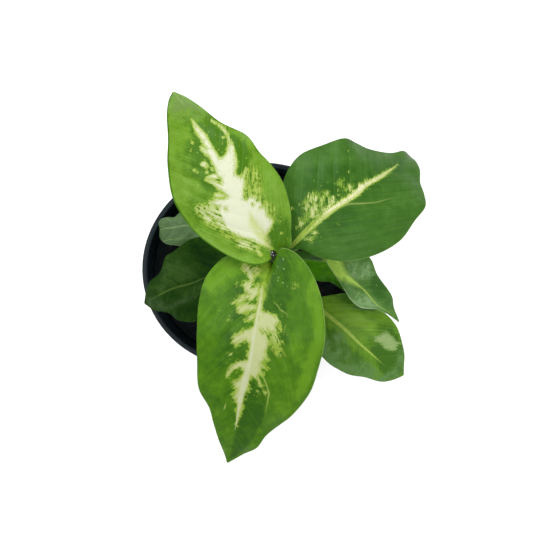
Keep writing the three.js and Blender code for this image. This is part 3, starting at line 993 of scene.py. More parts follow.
@dataclass
class Soil:
    """Potting soil that fills the pot, with loose crumbs and bark on top."""

    pot: Pot
    level: float = 92.0
    edge_drop: float = 1.0
    clearance: float = 0.3
    rings: int = 90
    sides: int = 240
    hole_top: float = 12.0
    waves: tuple = (
        # length, heading, phase, height
        (46, 10, 0.4, 0.6), (37, 96, -0.9, 0.6), (17, 63, 1.7, 0.4), (14, 151, 2.9, 0.35),
    )
    clods: tuple = (
        # size, height, layer of the noise
        (4.5, 0.9, 0.3), (1.7, 0.5, 4.1),
    )
    bits: tuple = (
        # name, count, least and greatest radius, shape
        ("soil_crumbs", 1500, (0.35, 1.5), (1.0, 0.85, 0.7)),
        ("bark_bits", 70, (0.9, 2.6), (1.5, 0.7, 0.3)),
    )
    smallness: float = 2.5
    unevenness: Pair = (0.72, 1.25)
    tilt: float = 0.35
    sunk: float = 0.35
    wall_room: float = 0.8
    cane_room: float = 6.6
    seed: int = 7
    finish: SoilFinish = SoilFinish()
    crumb_finish: SoilFinish = SoilFinish(
        dark=(0.0022, 0.0032, 0.0026), brown=(0.0055, 0.0058, 0.0042), light=(0.014, 0.012, 0.008)
    )

    def surface(self, x: float, y: float) -> float:
        """Height of the soil's top.

        Args:
            x: Place in millimetres.
            y: Place in millimetres.

        Returns:
            The height in millimetres.
        """
        height = self.level
        for length, heading, phase, rise in self.waves:
            along = x * math.cos(math.radians(heading)) + y * math.sin(math.radians(heading))
            height += rise * math.sin(math.tau * along / length + phase)
        for size, rise, layer in self.clods:
            height += rise * noise.noise(Vector((x / size, y / size, layer)))
        return height

    def build(self, cane: "Cane") -> Object:
        """Makes the body of soil with the hole that the cane stands in.

        Args:
            cane: The cane.

        Returns:
            The soil.
        """
        edge = self.level - self.edge_drop
        wall = [point for point in self.pot.inner_wall() if point[1] < edge]
        wall.append((self.pot.inner_radius(edge), edge))
        profile = [(0.0, self.pot.floor + self.clearance)]
        profile += [(radius - self.clearance, height + self.clearance) for radius, height in wall]
        rim = profile[-1][0]
        profile += [(rim * (1 - i / self.rings), self.level) for i in range(1, self.rings + 1)]
        obj = turned("potting_soil", profile, self.sides)
        points = places(obj.data)
        top = points[:, 2] > (edge + 2 * self.clearance) * MM
        for i in np.flatnonzero(top):
            points[i, 2] = self.surface(*(points[i, :2] / MM)) * MM
        move_to(obj.data, self.pot.press(points))
        foot, tip = cane.middle(cane.foot[2]), cane.middle(self.level + self.hole_top)
        direction = Vector(tip - foot)
        bpy.ops.mesh.primitive_cylinder_add(
            vertices=48,
            radius=(cane.foot_radius + self.clearance) * MM,
            depth=direction.length * MM,
            location=tuple((foot + tip) / 2 * MM),
            rotation=direction.to_track_quat("Z", "Y").to_euler(),
        )
        cut(obj, bpy.context.active_object)
        settle(obj, "potting_soil", smooth_angle=60.0)
        return obj

    def scatter(
        self, name: str, count: int, sizes: Pair, shape: Point, cane: "Cane", draws: np.random.Generator
    ) -> Object:
        """Scatters loose bits on the soil.

        Args:
            name: Name of the piece.
            count: Number of bits.
            sizes: Least and greatest radius.
            shape: Stretch of a bit along its three axes.
            cane: The cane, which the bits keep clear of.
            draws: Source of the random numbers.

        Returns:
            One object that holds all the bits.
        """
        bpy.ops.mesh.primitive_ico_sphere_add(subdivisions=1, radius=1.0, location=(0.0, 0.0, 0.0))
        pattern = bpy.context.active_object
        ball = places(pattern.data)
        faces = np.array([tuple(face.vertices) for face in pattern.data.polygons])
        bpy.data.objects.remove(pattern, do_unlink=True)
        middle = cane.middle(self.level)
        all_points, all_faces = [], []
        while len(all_points) < count:
            azimuth, share, low = draws.uniform(0, math.tau), draws.uniform(0, 1), draws.uniform(0, 1)
            size = sizes[0] + (sizes[1] - sizes[0]) * low**self.smallness
            reach = (self.pot.inner_radius(self.level) - size - self.wall_room) * math.sqrt(share)
            x, y = reach * math.cos(azimuth), reach * math.sin(azimuth)
            turn, tilt = draws.uniform(0, math.tau), draws.normal(0, self.tilt)
            lumps = draws.uniform(*self.unevenness, size=(len(ball), 1))
            if math.hypot(x - middle[0], y - middle[1]) < self.cane_room + size * max(shape):
                continue
            spin = np.array(Matrix.Rotation(turn, 3, "Z") @ Matrix.Rotation(tilt, 3, "Y"))
            bit = (ball * lumps * np.array(shape) * size) @ spin.T
            bit += (x, y, self.surface(x, y) + size * min(shape) * self.sunk)
            all_faces.append(faces + len(all_points) * len(ball))
            all_points.append(bit * MM)
        mesh = bpy.data.meshes.new(name)
        mesh.from_pydata(np.vstack(all_points).tolist(), [], np.vstack(all_faces).tolist())
        obj = placed(name, mesh)
        move_to(mesh, self.pot.press(places(mesh)))
        settle(obj, name, smooth_angle=25.0)
        return obj

    def dress(self, obj: Object, bits: list[Object]) -> None:
        """Gives the soil its material, and the loose bits one that they share.

        Args:
            obj: The body of soil.
            bits: The pieces made of loose bits.
        """
        wear(obj, self.finish.material("potting soil"))
        crumb_look = self.crumb_finish.material("soil crumbs")
        for piece in bits:
            wear(piece, crumb_look)


# ---- Cane ----


@dataclass
class Cane:
    """The stem with a ring where each leaf sits."""

    foot: Point = (8.5, 2.0, 62.0)
    tip: Point = (13.0, 5.0, 152.0)
    foot_radius: float = 5.6
    tip_radius: float = 4.8
    scar: float = 0.35
    scar_width: float = 1.2
    dome: float = 4.0
    sides: int = 72
    step: float = 0.6
    wobble: float = 0.012
    rings: tuple[float, ...] = ()
    finish: CaneFinish = CaneFinish()

    def middle(self, height: float) -> Array:
        """Middle of the cane at a height."""
        share = (height - self.foot[2]) / (self.tip[2] - self.foot[2])
        return np.array((*(lerp(self.foot[i], self.tip[i], share) for i in range(2)), height))

    def plain(self, height: float) -> float:
        """Radius between the rings at a height."""
        share = (height - self.foot[2]) / (self.tip[2] - self.foot[2])
        return lerp(self.foot_radius, self.tip_radius, min(max(share, 0.0), 1.0))

    def ring(self, height: float) -> float:
        """How much of a ring stands out at a height, from 0 to 1."""
        return sum(math.exp(-(((height - at + self.scar_width) / self.scar_width) ** 2)) for at in self.rings)

    def sections(self) -> list[Pair]:
        """Works out the cross sections.

        Returns:
            Height and radius of each, up to the tip.
        """
        top = self.tip[2] - self.dome
        heights = np.arange(self.foot[2], top, self.step)
        found = [(h, self.plain(h) + self.scar * self.ring(h)) for h in heights]
        for turn in range(0, 90, 9):
            angle = math.radians(turn)
            height = top + self.dome * math.sin(angle)
            found.append((height, self.plain(height) * math.cos(angle)))
        return found

    def build(self) -> Object:
        """Extrudes the cane ring by ring from a circle.

        Returns:
            The cane.
        """
        sections = self.sections()
        bpy.ops.mesh.primitive_cylinder_add(vertices=self.sides, radius=1.0, depth=1.0, end_fill_type="NGON")
        obj = bpy.context.active_object
        turns = len(sections) - 1
        with editing(obj, "DESELECT"):
            bpy.ops.mesh.select_mode(type="FACE")
        for face in obj.data.polygons:
            face.select = face.normal.z > 0.9
        bpy.ops.object.mode_set(mode="EDIT")
        for _ in range(turns - 1):
            bpy.ops.mesh.extrude_region_move(TRANSFORM_OT_translate={"value": (0.0, 0.0, 1.0)})
        bpy.ops.object.mode_set(mode="OBJECT")
        points = places(obj.data)
        index = np.clip(np.round(points[:, 2] + 0.5).astype(int), 0, turns)
        shaped = np.empty_like(points)
        scars = np.empty(len(points))
        for i, (x, y, _) in enumerate(points):
            height, radius = sections[index[i]]
            reach = radius * (1.0 + self.wobble * noise.noise(Vector((x * 2, y * 2, height / 6))))
            shaped[i] = self.middle(height) + (x * reach, y * reach, 0.0)
            scars[i] = min(self.ring(height), 1.0)
        move_to(obj.data, shaped * MM)
        paint(obj.data, "scar", scars)
        settle(obj, "cane", smooth_angle=50.0)
        return obj

    def dress(self, obj: Object) -> None:
        """Gives the cane its skin."""
        wear(obj, self.finish.material("cane skin"))


# ---- Leaves ----


@dataclass(frozen=True)
class Markings:
    """Where a blade is cream, darker, lighter, yellow or painted with sheen.

    Outlines and places are along and left of the blade's base, seen from above. A dot also has a radius, a
    line a strength, and an area how much lighter it is and how soft its edge is; these zones mix the leaf's
    own colour with painted light and painted shade, such as the shadow cast by a leaf above. The rib is its
    half width at shares of the midrib. The painted highlight along the margin and the painted shade beside it
    are given for the left and the right margin.
    """

    cream: tuple[Outline, ...] = ()
    mottled: tuple[Outline, ...] = ()
    green: tuple[Outline, ...] = ()
    cream_dots: tuple[Point, ...] = ()
    green_dots: tuple[Point, ...] = ()
    lines: tuple[tuple[float, Outline], ...] = ()
    areas: tuple[tuple[float, float, Outline], ...] = ()
    glow: tuple[Outline, ...] = ()
    # Zones of painted sheen
    painted_sheen: tuple[Outline, ...] = ()
    rib: tuple[Pair, ...] = ((0.0, 0.0), (1.0, 0.0))
    edge_highlight: Pair = (0.5, 0.5)
    shaded: Pair = (0.0, 0.0)
    sinking: float = 0.2
    wavering: tuple[Point, ...] = ((0.5, 2.6, 5.0), (0.35, 1.1, 2.6))


@dataclass(frozen=True)
class Blend:
    """How softly marks pass into the leaf: starts and ends of steps, in mm, shares of a line or columns."""

    calm: Pair = (0.5, 4.0)
    calm_waver: float = 0.2
    calm_fray: float = 0.25
    mottled: Pair = (-0.8, 1.2)
    hovering: Pair = (-0.8, 0.5)
    stalk_light: float = -0.8
    shade: Pair = (1.3, 0.3)
    zone: Pair = (-1.6, 1.8)
    line: Pair = (2.0, 1.2)
    line_end: Pair = (1.0, 0.45)
    stalk_rib: tuple[Pair, Pair] = ((-0.2, 0.0), (-2.5, 0.0))
    vein_start: Pair = (0.02, 0.12)
    vein_end: Pair = (1.0, 0.8)
    vein_rest: float = 0.4
    margin: float = 0.8
    grain_shift: float = 40.0


@dataclass(frozen=True)
class Habit:
    """Sizes that leaves share unless one sets its own, and the seed of their wavering outlines."""

    stalk_depth: float = 0.62
    channel: float = 0.1
    stalk_edge: float = 0.8
    flare: float = 1.25
    sheath_depth: float = 0.35
    sheath_edge: float = 0.8
    wrap: float = 62.0
    hold: float = 0.35
    skin: float = 0.5
    rib_tip: float = 0.25
    rib_least: float = 0.6
    vein_lift: float = 0.35
    puff: float = 0.05
    start: float = 0.06
    fullness: float = 0.5
    ripple_reach: float = 3.0
    clearance: float = 0.3
    cell: float = 0.5
    least_columns: int = 12
    crowding: float = 0.95
    row: float = 0.7
    least_rows: int = 24
    joining: float = 0.3
    most_thickness: float = 5.0
    seed: int = 5


# Columns of a blade's solid as shares from midrib to margin
WIDE = (0.0, 0.08, 0.3, 0.54, 0.78, 1.0)
NARROW = (0.0, 0.12, 0.4, 0.7, 1.0)

# Stands for a distance far from any mark or margin
FAR_OUT, FAR_OFF = -30.0, 9.0


@dataclass(frozen=True)
class Leaf:
    """One leaf: sheath, stalk and blade in one piece.

    The base is where the blade starts, and the heading where it points. The seat is the height, azimuth and
    length of the sheath. Midrib and margins are along, left of and above the base. The ripple is the number,
    height and phase of the waves, and the slant the start and bend of the side veins on either half.
    """

    side: str
    slot: str
    base: Point
    heading: float
    seat: Point
    stalk_width: float
    veins: int
    ripple: Point
    stalk: tuple[Point, ...]
    midrib: tuple[Point, ...]
    left: tuple[Point, ...]
    right: tuple[Point, ...]
    finish: LeafFinish
    markings: Markings
    columns: tuple[float, ...] = NARROW
    sweep: float = 0.75
    slant: tuple[float, float, float, float] = (0.7, 1.2, 0.7, 1.2)
    habit: Habit = Habit()

    @property
    def name(self) -> str:
        """Name of the finished leaf."""
        return f"{self.side}_leaf"

    def curve(self, points: tuple[Point, ...]) -> Curve:
        """A curve on the blade.

        Args:
            points: Places along, left of and above the blade's base.

        Returns:
            The curve in the plant's frame.
        """
        along, left = compass(self.heading), compass(self.heading + 90)
        base = np.array(self.base)
        return Curve([base + a * along + l * left + (0.0, 0.0, up) for a, l, up in points])

    def plan(self, points: Array) -> Array:
        """Places along and left of the blade's base, seen from above."""
        flat = points[..., :2] - np.array(self.base[:2])
        return np.stack((flat @ compass(self.heading)[:2], flat @ compass(self.heading + 90)[:2]), axis=-1)

    def lanes(self, points: Array) -> tuple[Array, Array]:
        """Where on the midrib the side vein through each point starts, and how far left the point is of it.

        Args:
            points: Points in millimetres.

        Returns:
            Two distances for each point.
        """
        plan = self.plan(points)
        before = (-1.0, *(a for a, _, _ in self.midrib))
        onward = [(a, l) for (a, l, _), last in zip(self.midrib, before) if a > last]
        off = plan[..., 1] - np.interp(plan[..., 0], *zip(*onward))
        left_start, left_bend, right_start, right_bend = self.slant
        start = np.where(off > 0, left_start, right_start)
        bend = np.where(off > 0, left_bend, right_bend)
        out = np.abs(off)
        return plan[..., 0] - out * (start + bend * out / (2 * self.half_width)), off

    @property
    def half_width(self) -> float:
        """Greatest distance of a margin from the middle."""
        return max(abs(point[1]) for point in (*self.left, *self.right))

    def column_table(self) -> tuple[Array, Array]:
        """Spaces the columns of the sheet.

        Returns:
            Each column's place across the blade and across the stalk, from -1 on the right to 1 on the left.
        """
        habit = self.habit
        half = max(int(round(self.half_width / habit.cell / 2)) * 2, habit.least_columns)
        steps = np.linspace(0.0, 1.0, half + 1)
        known = np.linspace(0.0, 1.0, len(self.columns))
        out = np.interp(steps, known, self.columns)
        out = np.where(out < TINY, 0.0, out) ** habit.crowding
        even = np.interp(out, self.columns, known)
        signed = np.concatenate((-out[:0:-1], out))
        across = np.concatenate((-even[:0:-1], even))
        return signed, across

    def blade(self, shares: Array, columns: Array) -> tuple[Array, Array]:
        """Top points of the blade and their distance from the midrib.

        Args:
            shares: Shares of the midrib, one for each row.
            columns: From the right margin at -1 over the midrib to the left margin at 1.

        Returns:
            Points and distances, by row and column.
        """
        habit = self.habit
        midrib = self.curve(self.midrib).at(shares)[:, None, :]
        out = np.abs(columns)[None, :]
        share = shares[:, None]
        reach = share + (share**self.sweep - share) * out
        left, right = self.curve(self.left).at(reach), self.curve(self.right).at(reach)
        edge = np.where((columns > 0)[None, :, None], left, right)
        width = np.linalg.norm(edge - midrib, axis=2)
        points = midrib + (edge - midrib) * out[..., None]
        bulge = np.sin(math.pi * out)
        waves, height, phase = self.ripple
        ripple = height * np.sin(math.tau * waves * share + phase + columns[None, :])
        ripple *= out**habit.ripple_reach
        start, _ = self.lanes(points)
        pleat = habit.vein_lift * bulge * np.abs(np.sin(math.pi * self.veins * start / self.midrib[-1][0]))
        fade = np.sin(math.pi * np.clip(share, 0.0, 1.0)) ** habit.fullness
        points[..., 2] += fade * (ripple + pleat) + habit.puff * width * bulge
        return points, np.linalg.norm(points - midrib, axis=2)

    def grip(self, cane: Cane, count: int, across: Array) -> tuple[Array, Array, Array]:
        """Top points of the sheath and stalk.

        Args:
            cane: The cane that the sheath clasps.
            count: Number of rows.
            across: Place of each column across the stalk, from -1 to 1.

        Returns:
            Points by row and column, thickness by row and column, and the middle of each row with the
            blade's base last.
        """
        habit = self.habit
        height, azimuth, sheath = self.seat
        gap = cane.scar + habit.clearance

        def beside_cane(at: float, turn: float) -> Array:
            """Place on the sheath's top side at a height and azimuth."""
            return cane.middle(at) + compass(turn) * (cane.plain(at) + gap)

        route = [beside_cane(at, azimuth) for at in (height, height + sheath / 2)]
        route += [np.array(point) for point in self.stalk]
        midrib = self.curve(self.midrib)
        spine = Curve([*route, midrib.at(np.array(0.0)), midrib.at(np.array(habit.start))])
        end = len(route) / (len(route) + 1)
        shares = np.arange(count) / count
        middles = spine.point(end * shares)
        tangents = spine.tangent(end * shares)
        turned_to = azimuth + (self.heading - azimuth + 180.0) % 360.0 - 180.0
        rows, depths = [], []
        for share, middle, tangent in zip(shares, middles, tangents):
            side = compass(lerp(azimuth, turned_to, share) + 90)
            side = side - tangent * (side @ tangent)
            side /= np.linalg.norm(side)
            inner = np.cross(tangent, side)
            clasp = 1.0 - smooth(middle[2], height + sheath * habit.hold, height + sheath)
            width = self.stalk_width * lerp(habit.flare, 1.0, share)
            hollow = habit.channel * width * (1 - across**2)
            free = middle + side * (across * width / 2)[:, None] - inner * hollow[:, None]
            held = np.array([beside_cane(middle[2], azimuth + a * habit.wrap) for a in across])
            rows.append(free + (held - free) * clasp)
            around = np.sqrt(np.clip(1 - across**2, 0.0, 1.0))
            thick = habit.stalk_edge + habit.stalk_depth * width * around
            thin = habit.sheath_edge + habit.sheath_depth * width * around
            depths.append(thick + (thin - thick) * clasp)
        return np.array(rows), np.array(depths), np.vstack((middles, spine.point(np.array([end]))))

    def sheet(self, cane: Cane) -> dict[str, Array]:
        """Works out the whole leaf's top.

        Args:
            cane: The cane that carries the leaf.

        Returns:
            Points, thickness, shares of the midrib, columns and distances from midrib and margin, each by row
            and column.
        """
        habit = self.habit
        columns, across = self.column_table()
        length = self.curve(self.midrib).length
        rows = int(round(length / habit.cell / self.veins)) * self.veins
        shares = np.arange(rows + 1) / rows
        blade, away = self.blade(shares, columns)
        strength = habit.rib_tip + (1 - habit.rib_tip) * (1 - shares[:, None]) ** 2
        rib_depth = habit.stalk_depth * self.stalk_width * strength
        rib_half = np.maximum(self.stalk_width / 2 * strength, habit.rib_least)
        depth = habit.skin + rib_depth * np.sqrt(np.clip(1 - (away / rib_half) ** 2, 0.0, 1.0))
        count = max(int(round(abs(self.base[2] - self.seat[0]) / habit.row)), habit.least_rows)
        grip, grip_depth, middles = self.grip(cane, count, across)
        grip_shares = np.arange(count) / count
        blend = smooth(grip_shares, 1 - habit.joining, 1.0)[:, None]
        carried = blade[0][None] + (middles[:-1] - middles[-1])[:, None]
        grip = grip + (carried - grip) * blend[..., None]
        grip_depth = grip_depth + (depth[0][None] - grip_depth) * blend
        margins = [np.linalg.norm(blade - blade[:, end, None], axis=2) for end in (0, -1)]
        half = np.abs(across) * self.stalk_width / 2
        shape = (rows + 1 + count, len(columns))
        return {
            "points": np.concatenate((grip, blade)),
            "depth": np.concatenate((grip_depth, depth)),
            "share": np.broadcast_to(np.concatenate((grip_shares - 1.0, shares))[:, None], shape),
            "column": np.broadcast_to(columns, shape),
            "away": np.concatenate((np.broadcast_to(half, (count, len(columns))), away)),
            "margin": np.concatenate((np.full((count, len(columns)), FAR_OFF), np.minimum(*margins))),
        }

    def build(self, cane: Cane) -> Object:
        """Bends a grid into the leaf, stores its markings and gives it its thickness.

        Args:
            cane: The cane that carries the leaf.

        Returns:
            The leaf.
        """
        sheet = self.sheet(cane)
        rows, columns = sheet["share"].shape
        bpy.ops.mesh.primitive_grid_add(x_subdivisions=rows - 1, y_subdivisions=columns - 1, size=2.0)
        obj = bpy.context.active_object
        flat = places(obj.data)
        row = np.round((flat[:, 0] + 1) / 2 * (rows - 1)).astype(int)
        column = np.round((flat[:, 1] + 1) / 2 * (columns - 1)).astype(int)
        points = sheet["points"][row, column]
        move_to(obj.data, points * MM)
        self.mark(obj.data, points, {key: value[row, column] for key, value in sheet.items()})
        group = obj.vertex_groups.new(name="thickness")
        most = self.habit.most_thickness
        for i, depth in enumerate(sheet["depth"][row, column]):
            group.add([i], float(depth / most), "REPLACE")
        top_count = len(obj.data.vertices)
        modifier = obj.modifiers.new("thickness", "SOLIDIFY")
        modifier.thickness = most * MM
        modifier.offset = -1.0
        modifier.vertex_group = group.name
        finish_modifier(obj, modifier.name)
        under = np.zeros(len(obj.data.vertices))
        under[top_count:] = 1.0
        paint(obj.data, "under", under)
        obj.vertex_groups.clear()
        settle(obj, self.name, smooth_angle=62.0)
        return obj

    def waver(self, start: Array, off: Array) -> Array:
        """Shifts that make the outlines of the patches irregular, drawn out along the side veins.

        Args:
            start: Where on the midrib each point's side vein starts.
            off: How far left of the midrib each point is.

        Returns:
            A shift along and a shift to the left for each point.
        """
        noise.seed_set(self.habit.seed)
        shifts = np.zeros((len(start), 2))
        for reach, size, length in self.markings.wavering:
            for i, (x, y) in enumerate(zip(start / size, off / length)):
                shift = noise.noise_vector(Vector((x, y, self.heading)))
                shifts[i] += (reach * shift[0], reach * shift[1])
        return shifts

    def mark(self, mesh: Mesh, points: Array, sheet: dict[str, Array]) -> None:
        """Stores on the mesh where the leaf is cream, frayed, ribbed and veined, and where light, shade,
        sheen and a margin highlight are painted on it.

        Args:
            mesh: Mesh of the leaf's top.
            points: Its points in millimetres.
            sheet: What the sheet knows of each point.
        """
        marks, soft = self.markings, Blend()
        share, column, away = sheet["share"], sheet["column"], sheet["away"]
        start, off = self.lanes(points)
        plan = self.plan(points)
        calm = smooth(np.abs(off), *soft.calm)
        plan = plan + self.waver(start, off) * lerp(soft.calm_waver, 1.0, calm)[:, None]
        cream = np.full(len(points), FAR_OUT)
        mottle = np.zeros(len(points))
        for outline in marks.cream:
            cream = np.maximum(cream, inside(plan, outline))
        for outline in marks.mottled:
            mottle = np.maximum(mottle, smooth(inside(plan, outline), *soft.mottled))
        for outline in marks.green:
            cream = np.minimum(cream, -inside(plan, outline))
        for a, l, radius in marks.cream_dots:
            cream = np.maximum(cream, radius - np.hypot(plan[:, 0] - a, plan[:, 1] - l))
        for a, l, radius in marks.green_dots:
            cream = np.minimum(cream, np.hypot(plan[:, 0] - a, plan[:, 1] - l) - radius)
        hover = np.clip(cream, *soft.hovering) - marks.sinking
        cream = np.where(share < 0, FAR_OUT, cream + mottle * (hover - cream))
        # Lighter and darker zones: the leaf's own colour with painted light and painted shade; stalks darker,
        # painted shade along a margin
        light = np.where(share < 0, soft.stalk_light, 0.0)
        for amount, softness, outline in marks.areas:
            light += amount * smooth(inside(plan, outline), -softness, softness)
        light -= np.where(column > 0, *marks.shaded) * smooth(sheet["margin"], *soft.shade)
        # Yellow zones, and zones of painted sheen
        glow, painted_sheen = (
            np.max([smooth(inside(plan, outline), *soft.zone) for outline in outlines], axis=0)
            if outlines else np.zeros(len(points))
            for outlines in (marks.glow, marks.painted_sheen)
        )
        trace = np.full(len(points), FAR_OFF)
        traced = np.zeros(len(points))
        for strength, path in marks.lines:
            gap, run = beside(plan, path)
            near = strength * smooth(np.abs(gap), *soft.line) * smooth(run, *soft.line_end) * (share >= 0)
            trace = np.where(near > traced, gap, trace)
            traced = np.maximum(traced, near)
        shares, halves = zip(*marks.rib)
        rib = np.interp(share, shares, halves) - away
        rib = np.where(share < 0, np.interp(share, *soft.stalk_rib) + rib, rib)
        phase = start / self.midrib[-1][0] * self.veins
        veined = smooth(np.abs(column), *soft.vein_start) * smooth(np.abs(column), *soft.vein_end)
        veined *= (share > 0.0) & (phase > soft.vein_rest) & (phase < self.veins - soft.vein_rest)
        # How strongly each side's margin takes its painted highlight
        keep = np.where(column > 0, *marks.edge_highlight)
        for name, values in (
            ("cream", cream), ("mottle", mottle), ("light", light), ("glow", glow), ("painted_sheen", painted_sheen),
            ("trace", trace), ("traced", traced), ("rib", rib), ("veined", veined),
            ("fray", lerp(soft.calm_fray, 1.0, calm)),
            ("edge", sheet["margin"] + (1.0 - keep) * soft.margin),
            ("grain", np.column_stack((start + soft.grain_shift * self.heading, off, phase))),
        ):
            paint(mesh, name, values)

    def dress(self, obj: Object) -> None:
        """Gives the leaf its colours."""
        wear(obj, self.finish.material(f"{self.name} skin"))


UPPER_LEFT_MARKS = Markings(
    cream=(
        ((76, -1), (66, -2.7), (53, -2.5), (52.5, -3.5), (53.3, -7), (56.5, -10), (60, -11.2), (65.5, -11),
         (70, -8.5), (70.5, -9), (65, -12), (63, -12.3), (56.5, -11.4), (53.5, -11.4), (47.5, -8.5),
         (43, -5), (41.5, -5), (39.5, -6.5), (42, -11), (41.5, -11.5), (38, -7.5), (35.5, -6), (32, -3),
         (29.5, -2.5), (30.5, -7), (28.5, -7), (24, -8.5), (20.5, -8.5), (17.5, -7.5), (14.5, -9.5),
         (12, -6.5), (9, -0.5), (6, -0.5), (3, -1), (22, 13), (25, 15), (27.5, 17), (31.5, 19), (38, 20.5),
         (39.5, 19), (37.5, 14), (38.5, 12), (35.5, 6), (35.5, 4), (38, 4.5), (48, 8.5), (46.5, 6.5),
         (42, 3), (44, 2), (46.5, 3), (49, 2), (55.5, 1.5), (61, 3), (62.5, 2.5), (60, 0.5), (70, 0.5)),
        ((39.5, 8.5), (38.5, 6.5), (36.5, 5), (36, 5.5), (38, 8.5)),
        ((48.5, 7.5), (48.5, 4.5), (47, 2.5), (45, 3), (45, 4.5)),
        ((14.5, 12.5), (14.5, 9), (10, 6.5), (7, 4.5), (3, 5), (7, 7), (10.5, 11), (13, 13)),
    ),
    mottled=(
        ((40, -8.5), (43.5, -14.5), (37, -15.5), (25, -11), (22, -12), (19.5, -13.5), (16, -12), (14, -9),
         (15, -7.5), (24.5, -8), (28, -6), (29.5, -2), (32, -2.5), (35.5, -6)),
        ((40.5, 19), (38, 12.5), (36, 10), (30, 10.5), (23.5, 11.5), (14.5, 8.5), (9, 5), (3, 5), (11, 12),
         (30, 20.5), (36.5, 21)),
    ),
    green=(((17.5, 10), (12.5, 6), (9, 4), (9, 5), (12, 7.5), (16.5, 10.5)),),
    cream_dots=(
        (54.4, 5.3, 1.2), (46.9, 4.5, 1), (54.4, 10.9, 0.1), (52.5, 9.9, 0), (50.4, 5.9, 0.3),
        (65.7, 4.3, 0.2), (63, 7.5, 0), (49.8, 3.5, 0.4), (52.8, 5, 0.5), (6.9, -9.1, -0.1),
        (60.4, -9.6, 0.2), (65.3, -2.7, 0.2),
    ),
    green_dots=((30.7, 7.7, 0.3), (33.3, 9.7, 0.1), (25.8, -4.7, 0.3), (22.7, -7.1, 0.4), (24.6, 14.2, 0.2)),
    areas=(
        (-0.6, 2.2, ((72, 2), (70, 0.5), (53, 1), (45.5, 2), (40, 6), (41, 9.5), (53, 14))),
        (-1, 2.2, ((72.5, -2.5), (64, -10.5), (58, -10), (55, -8.5), (52, -3.5), (54.5, -2.5))),
        (-1, 2.2, ((62, -12.5), (51, -17), (46, -17), (44.5, -13), (39, -8.5), (41, -6), (54.5, -12))),
        (-0.8, 2.2, ((11, -5), (11, -15), (-2, -9.5), (2, -3), (7.5, -1))),
        (0.4, 2.2, ((47, -17.5), (36.5, -21), (26.5, -21), (16.5, -19), (12.5, -15.5), (22.5, -17),
                    (43.5, -14.5))),
        (0.7, 2.2, ((33, 27), (15, 18), (6, 11), (-0.5, 3), (0, 8.5), (9, 17.5), (22.5, 25.5), (31.5, 28))),
        (0.1, 2.2, ((94.5, 2.5), (87.5, -2), (76, -5.5), (72, 2.5), (79, 8.5))),
    ),
    glow=(((24, -1.5), (13, -3), (6, -2), (3, 0), (6.5, 1.5), (18, 3)),),
    painted_sheen=(((77, 5), (74, -6), (81, -7), (92, 0), (84, 6)),), edge_highlight=(0, 0.6), shaded=(2, 0.3),
    rib=((0, 0.4), (0.04, -1), (0.8, -1), (0.86, 0.1), (1, 0.1)),
)

